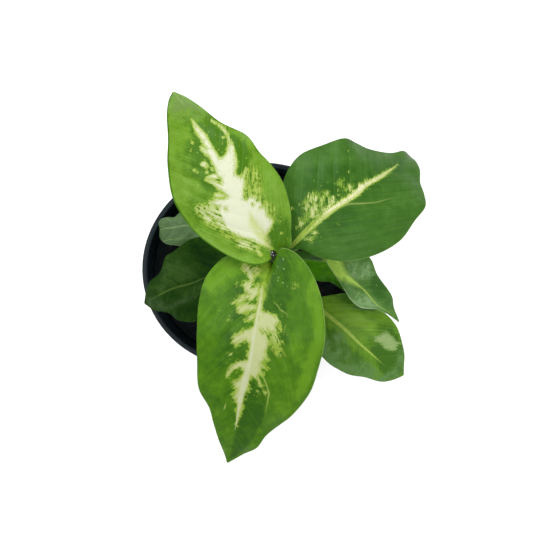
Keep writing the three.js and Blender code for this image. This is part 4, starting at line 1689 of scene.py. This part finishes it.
FRONT_MARKS = Markings(
    cream=(
        ((4.5, -13.5), (4, -11), (5.5, -10), (4, -6.5), (5, -5.5), (6, -8.5), (5.5, -5.5), (7, -5.5),
         (9.5, -7.5), (14.5, -7), (12, -4), (17.5, -3.5), (19.5, -5.5), (21.5, -10), (23.5, -13), (24, -15),
         (19, -10.5), (18, -8), (16, -10.5), (15, -11), (13, -11), (11.5, -9), (7.5, -11.5), (6.5, -13.5)),
        ((27.5, -12), (24, -11.5), (22.5, -9), (23, -6.5), (22.5, -3), (24, -3), (27.5, -8.5), (28, -10.5)),
        ((30.5, -6), (27.5, -5), (26, -2.5), (29, -2.5), (30.5, -4)),
        ((12, -2.5), (13, -1.5), (24.5, 0), (25, 4.5), (25, 7), (26.5, 9), (28, 10.5), (31, 8), (35.5, 11),
         (38.5, 12.5), (38.5, 10.5), (36, 8.5), (33.5, 5), (35.5, 5), (41.5, 6.5), (44, 6), (46.5, 7),
         (48, 8.5), (47.5, 6.5), (49.5, 5.5), (52, 8), (52.5, 5.5), (56, 7), (56.5, 5.2), (61.5, 7.5),
         (57.5, 4.5), (58.5, 3), (58, 1), (61.5, 1.5), (66, 1), (67.5, 0.5), (79, 0.4), (84.5, -0.4),
         (75.5, -1.5), (69.5, -4.5), (67, -4), (63, -6.5), (61.5, -4.5), (58, -2.5), (56, -2.5), (55, -5),
         (56.5, -7.5), (60.5, -10), (58.5, -10.5), (56, -9.5), (51.5, -6), (50, -1.5), (47.5, -2.5),
         (45, -2), (42, -2.5), (40.5, -4.5), (43.5, -8.5), (43, -10.5), (41, -10.5), (40, -11), (37, -8.5),
         (33, -2.5), (26.5, -2.5), (14, -3.5)),
    ),
    mottled=(
        ((28.5, 9.5), (31, 12.5), (28.5, 13.5), (32.5, 13.5), (34, 10.5), (38.5, 12.5), (44.5, 17),
         (44.5, 15), (46, 12.5), (43.5, 8.5), (40, 6.5), (35, 5), (34.5, 6.5)),
    ),
    green=(((33.5, 1), (35, 4), (35.5, 2.5), (34.5, 1.5)),),
    cream_dots=(
        (14.7, -15.5, -0.1), (8.5, 12.8, 0), (10, 12.9, 0.1), (49, -11.1, 0.3), (31.9, -14, -0.1),
        (64.9, 6.8, 0), (65.2, 10.4, 0), (29.5, -4.3, 0.2),
    ),
    green_dots=((8.7, -4.9, 0.5), (7.6, -8.1, 0.6)),
    lines=(
        (0.5, ((19.2, 5.2), (20.3, 6.9), (22, 8.3), (22.6, 9.9), (23.7, 12.1), (26, 15))),
        (0.7, ((75, -7.8), (76.7, -7.9), (79, -8.5))),
        (0.75, ((53.5, 5.6), (56.4, 7.5), (60.6, 10.1), (65, 12.2), (69.7, 12.7), (80, 13.5))),
    ),
    areas=(
        (1, 2.2, ((3, 21), (10, 27), (35, 33.5), (60.5, 31), (65.5, 27), (54, 26), (33, 27.5), (21.5, 25),
                  (14, 20.5), (7.5, 19))),
        (-0.9, 3.5, ((4, -4.5), (-3.5, -0.5), (-5.5, 6), (-2, 11.5), (7.5, 11), (25, 12.5), (23, 9),
                     (24.5, 3), (19, -0.5), (10, -1.5))),
        (-0.6, 3.5, ((11, -14), (19, -18), (29, -17.5), (31, -13), (28.5, -7.5), (22.5, -12.5),
                     (15.5, -11.5))),
        (-0.7, 4, ((26, 11), (26.5, 16.5), (35, 16.5), (42.5, 14.5), (46.5, 10.5), (40.5, 6.5), (36, 11.5))),
        (-0.5, 4, ((43, -20), (36, -13), (43, -4.5), (49, -1.5), (52.5, -9.5), (59, -14), (55, -18))),
        (0.5, 2.5, ((56, 19.5), (54, 30.5), (66, 28.5), (76, 22.5), (80.5, 17), (72.5, 17), (64.5, 20))),
        (-0.9, 1, ((59.5, 2), (59.5, 6), (63.5, 10), (71, 12.5), (80.5, 12), (91, 9.5), (100, 5.5),
                   (105.5, 0), (72, -0.2))),
        (0.9, 2.5, ((11, -32), (3.5, -24), (3.5, -13), (6, -12.5), (22.5, -26.5), (20, -30.5))),
        (0.45, 2.2, ((24, 13), (29.5, 18.5), (48.5, 27.5), (47.5, 22.5), (38.5, 17), (30.5, 13))),
    ),
    glow=(((1, -6), (0, -1), (4, 0.3), (11.5, 0.6), (19, 0.4), (16, -1), (10, -3.2), (7.5, -4.8)),),
    edge_highlight=(0.9, 0.4),
    rib=(
        (0, -1.2), (0.1, -0.8), (0.16, 0.1), (0.22, 0.6), (0.3, 0.8), (0.42, 0.8), (0.52, 1.6), (0.6, 1.2),
        (0.7, 0.4), (0.78, 0), (0.82, -0.6), (1, -0.8),
    ),
)

RIGHT_MARKS = Markings(
    cream=(
        ((9, 1), (27.5, 1.5), (44.5, 0.5), (48.5, 1.5), (58.5, 0.5), (70.5, 1), (51.5, 3.5), (50.5, 4.5),
         (49, 4), (47, 5.5), (44.5, 4), (39, 3.5), (26, 4.5)),
        ((23.5, 15.5), (26, 14), (25, 11.5), (23.5, 9.5), (21, 4), (19, 4), (17.5, 5), (16.5, 6.5),
         (18.5, 7.5), (20, 9.5), (21.5, 12), (16.5, 8.5), (17.5, 11)),
        ((26.5, 10.5), (28, 11.5), (28.5, 10.5), (25.5, 7), (26, 5.5), (28, 6), (30, 10), (31.5, 11.5),
         (30, 7), (32, 8), (31.5, 5), (27, 4), (23, 4.5), (25.5, 9)),
        ((38, 3.5), (42, 7), (43, 6), (41.5, 5), (39.5, 3.5)),
        ((12, 9), (12.5, 6), (11, 5), (8.5, 6), (11, 7)),
        ((8.5, -1), (11, -1.5), (11.5, -2.5), (10.5, -3.5)), ((13.5, 0), (15, -2), (14.5, -2), (13, 0)),
    ),
    mottled=(
        ((8, 4), (11, 9), (14, 8), (18, 15), (26, 15), (32, 11), (30, 5), (20, 4)),
        ((37, 4), (37, 13), (42, 13), (42, 8), (46, 5)), ((8, -1), (12, -4), (14.5, -3), (13, -0.5)),
    ),
    cream_dots=(
        (39, 12.5, -0.2), (41.2, 12.3, -0.2), (34.7, 6.8, 0.1), (26, -4.9, -0.1), (36.1, 8.6, 0.1),
        (16.2, 13.8, -0.1), (12.4, 14.9, -0.1), (52.6, 21.1, -0.3), (46.1, 12.9, -0.2),
    ),
    lines=(
        (0.42, ((34, 0.8), (36.6, -0.3), (40.6, -2.9), (44.7, -5.3), (48.3, -7.5), (55, -10), (61, -12))),
    ),
    areas=(
        (0.3, 2.2, ((44, 28), (54.5, 27.5), (62, 16.5), (53, 15), (43, 20))),
        (-0.6, 2.2, ((22.5, 3), (37.5, -2.5), (42, -8.5), (29.5, -10), (20, -5))),
        (-0.5, 2.2, ((29, 28), (43, 20), (51, 12), (38.5, 9.5), (32, 5.5), (30, 11.5), (23.5, 16.5),
                     (23, 21))),
        (0.4, 2.2, ((50, -7), (65.5, -12.5), (71, -18.5), (65, -22.5), (55.5, -15.5))),
    ),
    edge_highlight=(0.3, 0.9), rib=((0, 0.9), (0.12, 1.5), (0.2, 1.6), (0.32, 0.3), (0.42, -0.8), (1, -1)),
)

BOTTOM_RIGHT_MARKS = Markings(
    cream=(
        ((39.5, 6.5), (42, 12), (44, 13), (50, 12), (53.5, 12.5), (52.5, 10.5), (53, 8), (52, 6), (48, 5),
         (45.5, 5.5), (40.5, 5)),
    ),
    areas=(
        (0.9, 2.2, ((5, 4), (12, 8), (24, 11), (36, 12), (38, 7), (25.5, 3.5), (7.5, 2))),
        (-1.1, 2.2, ((7.5, 10), (12.5, 16), (30, 18), (25.5, 13))),
        (-1.2, 2.5, ((43, 0), (44, 15), (58, 11), (66, -3), (60, -9), (50, -5))),
        (-0.8, 2.5, ((13.5, -5.5), (21, -3.5), (35, -7), (50, -8), (52, -24), (30, -26), (14, -20))),
    ),
    painted_sheen=(
        ((18, -10), (22.5, -2.5), (34, -8.5), (45.5, -6.5), (55.5, -7.5), (52, -24), (32, -26), (16, -20)),
        ((54, 14), (63, 4), (66, -2), (62, -20), (51, -20), (60, 0), (55, 8)),
    ),
    edge_highlight=(0.2, 0.2), rib=((0, 1.4), (0.2, 1), (0.6, 0.45), (0.8, -0.2), (1, -1)),
)

LOWER_RIGHT_MARKS = Markings(
    areas=((-0.6, 2, ((23, 11), (28, 10.5), (37, 9), (44.5, 4.5), (36, 2.5), (22, 4))),),
    glow=(((-2, -5), (-1, 5), (5.5, 4), (10.5, 2), (21, 0.5), (9, -4.5)),),
    painted_sheen=(
        ((15.5, -3.5), (28, 0), (37.5, 1.5), (38.5, 0), (27, -8), (20.5, -7.5)),
        ((8, 6), (16.5, 13.5), (23.5, 11), (20.5, 4), (13, 1.5)),
    ),
    cream_dots=((27.9, 7.6, -0.7),), edge_highlight=(0.3, 1),
    rib=((0, 0.8), (0.2, 0.6), (0.35, 0.5), (0.6, 0.35), (0.85, 0), (1, -1)),
)

LOWER_LEFT_MARKS = Markings(
    areas=(
        (-0.6, 4, ((14.5, -21.5), (10, -11), (12.5, -4), (17, -5), (20.5, -11), (21.5, -20))),
        (0.8, 4, ((44, -1.5), (24, -3), (24, -10.5), (30, -16), (36.5, -16.5), (41, -11), (48.5, -6.5))),
        (0.9, 2.5, ((20, 1), (20, 6), (27, 6), (34, 3.5), (34, 0.8))),
        (-0.4, 4, ((38.5, 4), (27, 5), (32, 17.5), (40, 14.5), (42, 8))),
    ),
    painted_sheen=(
        ((55, -2), (50, -2.5), (45.5, 2.5), (47.5, 6.5), (54.5, 2.5)),
        ((28, 5), (28, 7), (38, 7.5), (46, 7), (46, 5.5), (36, 5)),
    ),
    edge_highlight=(0.5, 0.5), rib=((0, -0.5), (0.3, 0.2), (0.5, 0.5), (0.75, 0.4), (0.9, 0), (1, -0.4)),
)

SMALL_LEFT_MARKS = Markings(
    lines=(
        (0.4, ((38.3, -6.9), (32.2, -4.5), (25.2, -4.8), (19.8, -3.3))),
        (0.4, ((39.8, 1.9), (32.5, 1.7), (24.9, 2.2), (18.6, 2.1))),
    ),
    edge_highlight=(0.6, 0.6), rib=((0, 0.5), (1, 0.1)),
)

LEAVES = (
    Leaf(
        side="upper_left", slot="leaf_bright", base=(9.7, 5.1, 190.5), heading=121.8, seat=(143, 122, 18),
        stalk_width=4.4, columns=WIDE, veins=9, sweep=0.72, ripple=(5, 0.7, 0.6), slant=(1, 0.8, 1.3, 0.9),
        stalk=((10.2, 8.2, 158), (10.2, 6.8, 175), (9.9, 5.5, 186)),
        midrib=(
            (0, 0, 0), (7, -1.5, 4.5), (15, -0.5, 9), (26, 0.5, 14), (48.5, -1.5, 19.5), (69, -1.5, 19),
            (83, -1.5, 12.5), (94.5, -0.5, -1.5),
        ),
        left=(
            (-1, 1, 1), (-1.5, 4.5, 4.5), (0.5, 10, 6.5), (6, 15.5, 7), (18, 22.5, 7.5), (31.5, 27, 8.5),
            (48.5, 27, 10.5), (63, 21, 12.5), (74, 14, 13), (86, 7.5, 8.5), (91.5, 3.5, 3.5),
            (94.5, -0.1, -1.5),
        ),
        right=(
            (-1, -1.5, 1), (-2.2, -4.5, -1.5), (-1.5, -9.5, -1.5), (5, -13.5, 2.5), (13.5, -18.5, 6.5),
            (27, -22.5, 10.5), (38.5, -22, 13.5), (45.5, -20.5, 15), (55.5, -19.5, 15.5), (68, -12, 14.5),
            (80, -8, 9.5), (89.5, -4, 2.5), (94.5, -0.9, -1.5),
        ),
        finish=LeafFinish(
            green=(122, 168, 52), dark=(80, 128, 28), pale=(140, 182, 82), glow=(210, 222, 134),
            rib=(150, 188, 100), halo=(176, 202, 84), painted_light_gain=1.08, frayed=0.25, flecked=0.35, specks=0.35,
            painted_sheen=(122, 158, 76), ringed=0.4,
        ),
        markings=UPPER_LEFT_MARKS,
    ),
    Leaf(
        side="front", slot="leaf_feathered", base=(9.5, 1.6, 187), heading=257.7, seat=(134, 258, 18),
        stalk_width=4.6, columns=WIDE, veins=9, sweep=0.72, ripple=(6, 0.8, 2.1), slant=(0.6, 2.4, 0.9, 1.2),
        stalk=((11.5, -2.6, 150), (11, -0.8, 170), (9.9, 1.2, 182.5)),
        midrib=(
            (0, 0, 0), (5.5, -0.5, 3), (11, -1.5, 4.5), (33, -1.5, 4), (50, -0.5, -0.5), (70, -1, -10),
            (85, -0.5, -19), (98.5, -0.5, -30), (107.5, -0.5, -38),
        ),
        left=(
            (-2, 1.5, 3), (-4.5, 1.8, 6.5), (-7.3, 2.6, 8.5), (-7.7, 7, 8), (-5.5, 12.5, 6), (0, 19, 3.5),
            (9.5, 26, 0.5), (22.5, 31.5, -2), (34, 34, -5), (49, 34, -11), (61.5, 32.5, -16),
            (74.5, 26.5, -22), (81, 21.5, -24.5), (88, 16, -27), (96, 12.5, -31), (101, 6.5, -34),
            (107.5, -0.1, -38),
        ),
        right=(
            (0, -1.5, 1), (-1.5, -5.5, 3.5), (-1.5, -12.5, 4.5), (0, -19.5, 4), (3.5, -24.5, 3.5),
            (14, -30.5, 2), (26.5, -31.5, 0.5), (41, -29.5, -2), (56, -26.5, -7), (71, -22.5, -14),
            (79.5, -15.5, -18.5), (87, -12, -22.5), (95.5, -7.5, -28), (104, -2.5, -35), (107.5, -0.9, -38),
        ),
        finish=LeafFinish(
            green=(84, 133, 33), dark=(60, 104, 26), pale=(112, 162, 40), cream=(188, 202, 116),
            white=(204, 212, 154), halo=(158, 188, 70), rib=(222, 227, 192), glow=(138, 176, 56), painted_light_gain=1.06,
            close=0.15, ribbed=0.6, frayed=0.7, flecked=0.7,
        ),
        markings=FRONT_MARKS,
    ),
    Leaf(
        side="right", slot="leaf_broad", base=(18.3, 8.7, 180), heading=36.8, seat=(127, 37, 15),
        stalk_width=4.6, columns=WIDE, veins=8, sweep=0.72, ripple=(5, 0.8, 4.2), slant=(0.5, 0.6, 1.6, 1),
        stalk=((19.2, 9.2, 144), (19.6, 9.6, 162), (18.6, 8.9, 175.5)),
        midrib=(
            (0, 0, 0), (9, 1.5, 4), (17.5, 2.5, 6.5), (26.5, 2, 8), (36.5, 2, 6.5), (46.5, 2, 2.5),
            (57, 1.5, -4.5), (69.5, 1, -17), (77.5, 0.5, -28), (80.5, 0.5, -35),
        ),
        left=(
            (0, 1.5, 0.5), (2, 8.5, 3), (6, 16, 4.5), (12, 23.5, 6), (18.5, 29.5, 7), (24.5, 32.5, 7),
            (32, 34, 5.5), (43.5, 31.5, 2.5), (55.5, 27.5, -4), (59, 22.5, -8), (63, 16, -13), (72, 8, -22),
            (78.5, 5, -28.5), (80.5, 0.9, -35),
        ),
        right=(
            (0.5, -1.5, 0), (4, -4, 2), (8.5, -12, 2), (17.5, -21.5, -0.5), (32, -28.5, -4.5),
            (48, -30.5, -10), (60, -27, -14), (69, -24.5, -16.5), (72.5, -19, -19.5), (74.5, -13.5, -22),
            (79, -8, -25.5), (80.5, -3, -30), (80.5, 0.1, -35),
        ),
        finish=LeafFinish(
            green=(76, 122, 48), dark=(60, 104, 38), pale=(96, 142, 64), cream=(218, 228, 142), painted_light_gain=1.08,
            white=(244, 244, 200), halo=(134, 172, 62), rib=(168, 196, 84), specks=0.2, frayed=0.7,
            flecked=0.4, ribbed=0.5, laced=2.5, ringed=0.5, veined=0.3,
        ),
        markings=RIGHT_MARKS,
    ),
    Leaf(
        side="lower_left", slot="leaf_dark", base=(-7.6, -0.3, 140), heading=201.7, seat=(119, 187, 10),
        stalk_width=3.8, veins=7, ripple=(4, 0.7, 1.3), stalk=((2.6, 2.4, 128), (-2.4, 1, 135.5)),
        midrib=(
            (0, 0, 0), (10, -0.5, 2), (20.5, -1, 0), (28.5, -1, -3.5), (36, -2, -8.5), (43.5, -2, -14),
            (49, -1.5, -19), (57, -0.5, -27.5),
        ),
        left=(
            (0, 1.5, -0.5), (7, 7, -1), (18.5, 14, -4), (27.5, 18, -7), (33, 19, -9.5), (38.5, 17, -12),
            (42.5, 14.5, -14), (45, 10, -16.5), (48.5, 7.5, -19.5), (52.5, 5.5, -22.5), (57, -0.1, -27.5),
        ),
        right=(
            (0, -1.5, 0.5), (2, -9.5, 1.5), (7.5, -17.5, 0.5), (13.5, -22, -1.5), (20.5, -23, -4),
            (30, -20.5, -8.5), (35.5, -19.5, -12), (40.5, -14, -14.5), (43.5, -12, -16.5), (49, -10.5, -21),
            (53, -7, -24), (57, -0.9, -27.5),
        ),
        finish=LeafFinish(
            green=(47, 80, 31), dark=(31, 60, 26), pale=(72, 106, 50), rib=(92, 122, 58),
            margin=(100, 130, 75), specks=0, edge_highlight=0.3, specular=0.05, gloss=0.6, painted_sheen=(82, 108, 66),
        ),
        markings=LOWER_LEFT_MARKS,
    ),
    Leaf(
        side="small_left", slot="leaf_grey", base=(-13.8, 20.9, 104), heading=188.7, seat=(98.5, 139, 6),
        stalk_width=3, veins=5, sweep=0.78, ripple=(3, 0.4, 0.2),
        stalk=((3.4, 12, 102.2), (-4.5, 17.5, 103)),
        midrib=(
            (0, 0, 0), (11, -2.5, 3.5), (24.5, -5, 5), (32, -5, 4.5), (37, -5, 3), (39, -4.5, 0.5),
            (38, -4, -3),
        ),
        left=(
            (-0.5, 1.5, -0.5), (5.5, 6.5, 2), (15.5, 8.5, 3.5), (23.5, 7.5, 3.5), (30, 5.5, 3), (35, 4, 3),
            (37, 3, 2.5), (39.5, -0.5, 1), (39.5, -2.5, -0.5), (38, -3.6, -3),
        ),
        right=(
            (1, -2, 0.5), (5.5, -7.5, 3.5), (13.5, -12, 4.5), (20.5, -13, 4), (26, -12.5, 3.5),
            (29.5, -10.5, 3), (33, -11, 3.5), (37, -10.5, 3.5), (39, -8, 1.5), (38, -4.4, -3),
        ),
        # Grey-green colours: painted sheen laid over the leaf's green
        finish=LeafFinish(
            green=(92, 122, 78), dark=(70, 100, 60), pale=(122, 150, 105), rib=(130, 158, 112),
            cream=(132, 158, 118), margin=(150, 172, 138), specks=0, edge_highlight=0.5, gloss=0.5, painted_light_gain=1.25,
        ),
        markings=SMALL_LEFT_MARKS,
    ),
    Leaf(
        side="lower_right", slot="leaf_yellow_rib", base=(38.7, 2.8, 150), heading=318, seat=(112, 6, 10),
        stalk_width=3.6, veins=6, ripple=(4, 0.5, 3.4), habit=Habit(vein_lift=0.15),
        stalk=((23, 5.6, 124), (28.5, 5.8, 137), (34, 4.6, 146)),
        midrib=(
            (0, 0, 0), (10, -0.5, 2.5), (17, 0.5, 1.5), (24, 1, -1.5), (30.5, 0.5, -5.5), (36.5, 0, -10),
            (42.5, 1.5, -15.5), (51.5, 1.5, -22.5),
        ),
        left=(
            (0, 1.5, 0.5), (1, 6.5, 1.5), (5, 11.5, 1), (10.5, 15, -0.5), (16.5, 15.5, -2.5), (24, 12, -5.5),
            (28.5, 11, -7.5), (34.5, 10, -10.5), (39.5, 8.5, -14), (43.5, 5.5, -17), (51.5, 1.9, -22.5),
        ),
        right=(
            (0, -1.5, 0), (4, -2.5, 2), (11.5, -4.5, 3), (19, -6.5, 1), (24, -7.5, -2), (29.5, -7, -5),
            (34, -4, -8.5), (37.5, -1.5, -12), (41, -0.5, -15), (44.5, 0.5, -18.5), (51.5, 1.1, -22.5),
        ),
        finish=LeafFinish(
            green=(85, 128, 58), dark=(62, 104, 45), pale=(128, 165, 85), rib=(150, 182, 85),
            glow=(184, 222, 98), painted_sheen=(132, 168, 112), margin=(190, 212, 178), specks=0, edge_highlight=1,
            painted_light_gain=1.45,
        ),
        markings=LOWER_RIGHT_MARKS,
    ),
    Leaf(
        side="bottom_right", slot="leaf_yellow_rib", base=(30.6, -19.8, 125), heading=322,
        seat=(96.5, 300, 5), stalk_width=3.6, veins=7, ripple=(4, 0.6, 5.1),
        stalk=((18.8, -6.8, 101.5), (24, -12.5, 110), (28, -17, 119.5)),
        midrib=(
            (0, 0, 0), (9, 0, 1.5), (17, 0, 2), (25.5, -0.5, 1), (34, -1.5, -1.5), (43, -2, -5.5),
            (51, -2.5, -9.5), (59, -2.5, -14.5), (66.5, -0.5, -19.5),
        ),
        left=(
            (0, 1.5, 0.5), (3, 6, 2), (8, 11.5, 2.5), (12.5, 16, 2), (20, 19.5, 0.5), (26.5, 20, -1),
            (36.5, 20, -3.5), (41, 19.5, -5), (46, 18, -7), (52, 14.5, -10), (59, 9, -14),
            (63.5, 3.5, -17.5), (66.5, -0.1, -19.5),
        ),
        right=(
            (0.5, -2, -0.5), (5, -8.5, -1), (12, -15, -2.5), (18.5, -19, -4), (24, -20, -5.5),
            (29.5, -20.5, -7), (34.5, -20, -8.5), (42, -18.5, -11), (49.5, -14.5, -13.5), (58.5, -11, -16.5),
            (63, -6.5, -18), (66.5, -0.9, -19.5),
        ),
        finish=LeafFinish(
            green=(100, 144, 45), dark=(68, 108, 38), pale=(124, 168, 55), rib=(160, 188, 84), painted_light_gain=1.45,
            cream=(136, 164, 98), white=(148, 174, 112), halo=(112, 148, 72), specks=0, edge_highlight=0.3,
            painted_sheen=(98, 136, 76), frayed=0.35, flecked=0.5, ringed=0.3,
        ),
        markings=BOTTOM_RIGHT_MARKS,
    ),
    Leaf(
        side="small_right", slot="leaf_yellow_rib", base=(24.9, 1.3, 116), heading=336, seat=(104, 318, 5),
        stalk_width=3, veins=5, sweep=0.78, ripple=(3, 0.3, 2.6),
        stalk=((20.2, -0.6, 108.5), (22.8, 0.6, 112.5)),
        midrib=((0, 0, 0), (7, 0, 2.5), (15.5, 0, 3), (24, 0, 0.5), (31.5, 0, -3), (36.5, 0, -6.5)),
        left=((0, 1.5, 0.5), (4, 4.5, 2.5), (10, 6.5, 3), (20, 6.5, 1), (28.5, 4, -2.5), (36.5, 0.4, -6.5)),
        right=(
            (0, -1.5, -0.5), (5, -5, 1), (9.5, -5.5, 2), (14.5, -4.5, 2), (19, -3, 1), (25, -3.5, -1.5),
            (29.5, -4, -3.5), (33.5, -2.5, -5.5), (36.5, -0.4, -6.5),
        ),
        finish=LeafFinish(
            green=(62, 108, 26), dark=(38, 74, 20), pale=(82, 130, 32), rib=(66, 112, 30), specks=0,
            edge_highlight=0.3, painted_light_gain=2.6,
        ),
        markings=Markings(rib=((0, 0.7), (1, 0.2))),
    ),
)


# ---- Water drops ----


@dataclass
class Drops:
    """Water: one large drop in the crown and beads on the front leaf."""

    crown: Point = (9.4, 5.5, 1.95)
    beads: tuple[Point, ...] = (
        (-2.4, 4.9, 0.65), (1.9, 2.9, 0.45), (2.1, 6.1, 0.55), (6.9, 4.4, 0.5), (8.4, 4.5, 0.5),
        (8.9, 7.1, 0.65), (10.2, 9.7, 0.35), (8.8, -4.9, 0.4), (5.5, 1.7, 0.3),
    )
    flatness: float = 0.55
    crown_flatness: float = 0.8
    below: float = 0.35
    lifted: float = 0.2
    finish: WaterFinish = WaterFinish()
    # Dark tint: painted shade of the dark crown that shows through the drop
    shaded_crown_finish: WaterFinish = WaterFinish(
        tint=(0.05, 0.05, 0.03), refraction=1.6, roughness=0.05, clear=1.0
    )

    def drop(self, at: Vector, normal: Vector, radius: float, flatness: float) -> Object:
        """Sets one drop on a surface.

        Args:
            at: Place on the surface in metres.
            normal: The surface's normal.
            radius: Radius in millimetres.
            flatness: Height of the drop as a share of its radius.

        Returns:
            The drop.
        """
        bpy.ops.mesh.primitive_uv_sphere_add(segments=32, ring_count=20, radius=radius * MM)
        obj = bpy.context.active_object
        points = places(obj.data)
        points[:, 2] *= np.where(points[:, 2] < 0, self.below, flatness)
        turn = np.array(normal.to_track_quat("Z", "Y").to_matrix())
        move_to(obj.data, points @ turn.T + np.array(at + normal * radius * MM * self.lifted))
        return obj

    def build(self, crown_leaf: Object, bead_leaf: Object, leaf: Leaf) -> list[Object]:
        """Sets the drops on their leaves.

        Args:
            crown_leaf: The leaf whose funnel holds the large drop.
            bead_leaf: The leaf that carries the beads.
            leaf: What the bead leaf was made from.

        Returns:
            The large drop and the beads.
        """
        x, y, radius = self.crown
        at, normal = self.under_sky(crown_leaf, x, y)
        big = self.drop(at, (normal + Vector((0.0, 0.0, 2.0))).normalized(), radius, self.crown_flatness)
        settle(big, "crown_drop", smooth_angle=180.0)
        small = []
        along, left = compass(leaf.heading), compass(leaf.heading + 90)
        for a, l, size in self.beads:
            spot = np.array(leaf.base) + a * along + l * left
            at, normal = self.under_sky(bead_leaf, spot[0], spot[1])
            small.append(self.drop(at, normal, size, self.flatness))
        beads = joined(small)
        settle(beads, "leaf_beads", smooth_angle=180.0)
        return [big, beads]

    def dress(self, big: Object, beads: Object) -> None:
        """Turns the drops into water."""
        # The large drop's dark tint is painted shade
        wear(big, self.shaded_crown_finish.material("dark water"))
        wear(beads, self.finish.material("clear water"))

    def under_sky(self, obj: Object, x: float, y: float) -> tuple[Vector, Vector]:
        """Finds where a plumb line meets an object.

        Args:
            obj: The object.
            x: Place in millimetres.
            y: Place in millimetres.

        Returns:
            The highest place there, in metres, and its normal.
        """
        hit, at, normal, _ = obj.ray_cast(Vector((x * MM, y * MM, 1.0)), Vector((0.0, 0.0, -1.0)))
        if not hit:
            raise ValueError(f"no surface of {obj.name} at {x}, {y}")
        return at, normal


# ---- Studio ----


@dataclass
class Studio:
    """Camera, lights and floor."""

    eye: Point = (6.5, -0.6, 855.0)
    focal: float = 91.06
    sensor: float = 36.0
    sky: float = 0.65
    lamps: tuple = (
        # name, azimuth, elevation, distance, diameter, strength in watts
        ("window", 90.0, 47.0, 1300.0, 700.0, 14.0),
        ("ceiling", 200.0, 65.0, 1500.0, 900.0, 12.0),
        ("fill", 320.0, 50.0, 1400.0, 900.0, 8.0),
    )
    target: Point = (10.0, 0.0, 150.0)
    floor_size: float = 6000.0
    floor_drop: float = 0.2
    near: float = 10.0
    far: float = 20000.0
    finish: PaperFinish = PaperFinish()

    def camera(self) -> None:
        """Sets the camera that looks straight down."""
        data = bpy.data.cameras.new("camera")
        data.lens = self.focal
        data.sensor_width = self.sensor
        data.clip_start = self.near * MM
        data.clip_end = self.far * MM
        obj = placed("camera", data)
        obj.location = [part * MM for part in self.eye]
        bpy.context.scene.camera = obj

    def light(self) -> None:
        """Sets a white sky and the soft lamps."""
        scene = bpy.context.scene
        scene.view_settings.view_transform = "Standard"
        world = bpy.data.worlds.new("studio")
        world.use_nodes = True
        background = next(node for node in world.node_tree.nodes if node.type == "BACKGROUND")
        background.inputs["Color"].default_value = (1.0, 1.0, 1.0, 1.0)
        background.inputs["Strength"].default_value = self.sky
        scene.world = world
        for name, azimuth, elevation, distance, size, strength in self.lamps:
            rise = math.radians(elevation)
            away = Vector(compass(azimuth) * math.cos(rise) + (0.0, 0.0, math.sin(rise))) * distance
            data = bpy.data.lights.new(name, "AREA")
            data.shape = "DISK"
            data.size = size * MM
            data.energy = strength
            obj = placed(name, data)
            obj.location = (Vector(self.target) + away) * MM
            obj.rotation_euler = away.to_track_quat("Z", "Y").to_euler()
            obj.visible_camera = False

    def floor(self) -> None:
        """Lays a plain white floor."""
        drop = (0.0, 0.0, -self.floor_drop * MM)
        bpy.ops.mesh.primitive_plane_add(size=self.floor_size * MM, location=drop)
        obj = bpy.context.active_object
        obj.name = "floor"
        wear(obj, self.finish.material("white paper"))


def main() -> None:
    """Builds and dresses every piece of the plant."""
    logging.basicConfig(level=logging.INFO, format="%(name)s %(message)s")
    studio = Studio()
    studio.camera()
    studio.light()
    studio.floor()

    build_dust_group()
    build_leaf_group()

    pot = Pot()
    pot_piece = pot.build()
    pot.dress(pot_piece)
    hand_over(pot_piece, "pot_plastic", "pot")

    cane = Cane(rings=tuple(leaf.seat[0] for leaf in LEAVES))
    cane_piece = cane.build()
    cane.dress(cane_piece)
    hand_over(cane_piece, "cane", "stem")

    soil = Soil(pot)
    soil_piece = soil.build(cane)
    draws = np.random.default_rng(soil.seed)
    bits = [soil.scatter(*kind, cane, draws) for kind in soil.bits]
    soil.dress(soil_piece, bits)
    hand_over(soil_piece, "soil", "soil")
    for piece in bits:
        hand_over(piece, "soil")

    pieces = {}
    for leaf in LEAVES:
        pieces[leaf.side] = leaf.build(cane)
        leaf.dress(pieces[leaf.side])
        hand_over(pieces[leaf.side], leaf.slot, f"leaf_{leaf.side}")

    drops = Drops()
    front = next(leaf for leaf in LEAVES if leaf.side == "front")
    big, beads = drops.build(pieces["upper_left"], pieces["front"], front)
    drops.dress(big, beads)
    for drop in (big, beads):
        hand_over(drop, front.slot)


if __name__ == "__main__":
    main()
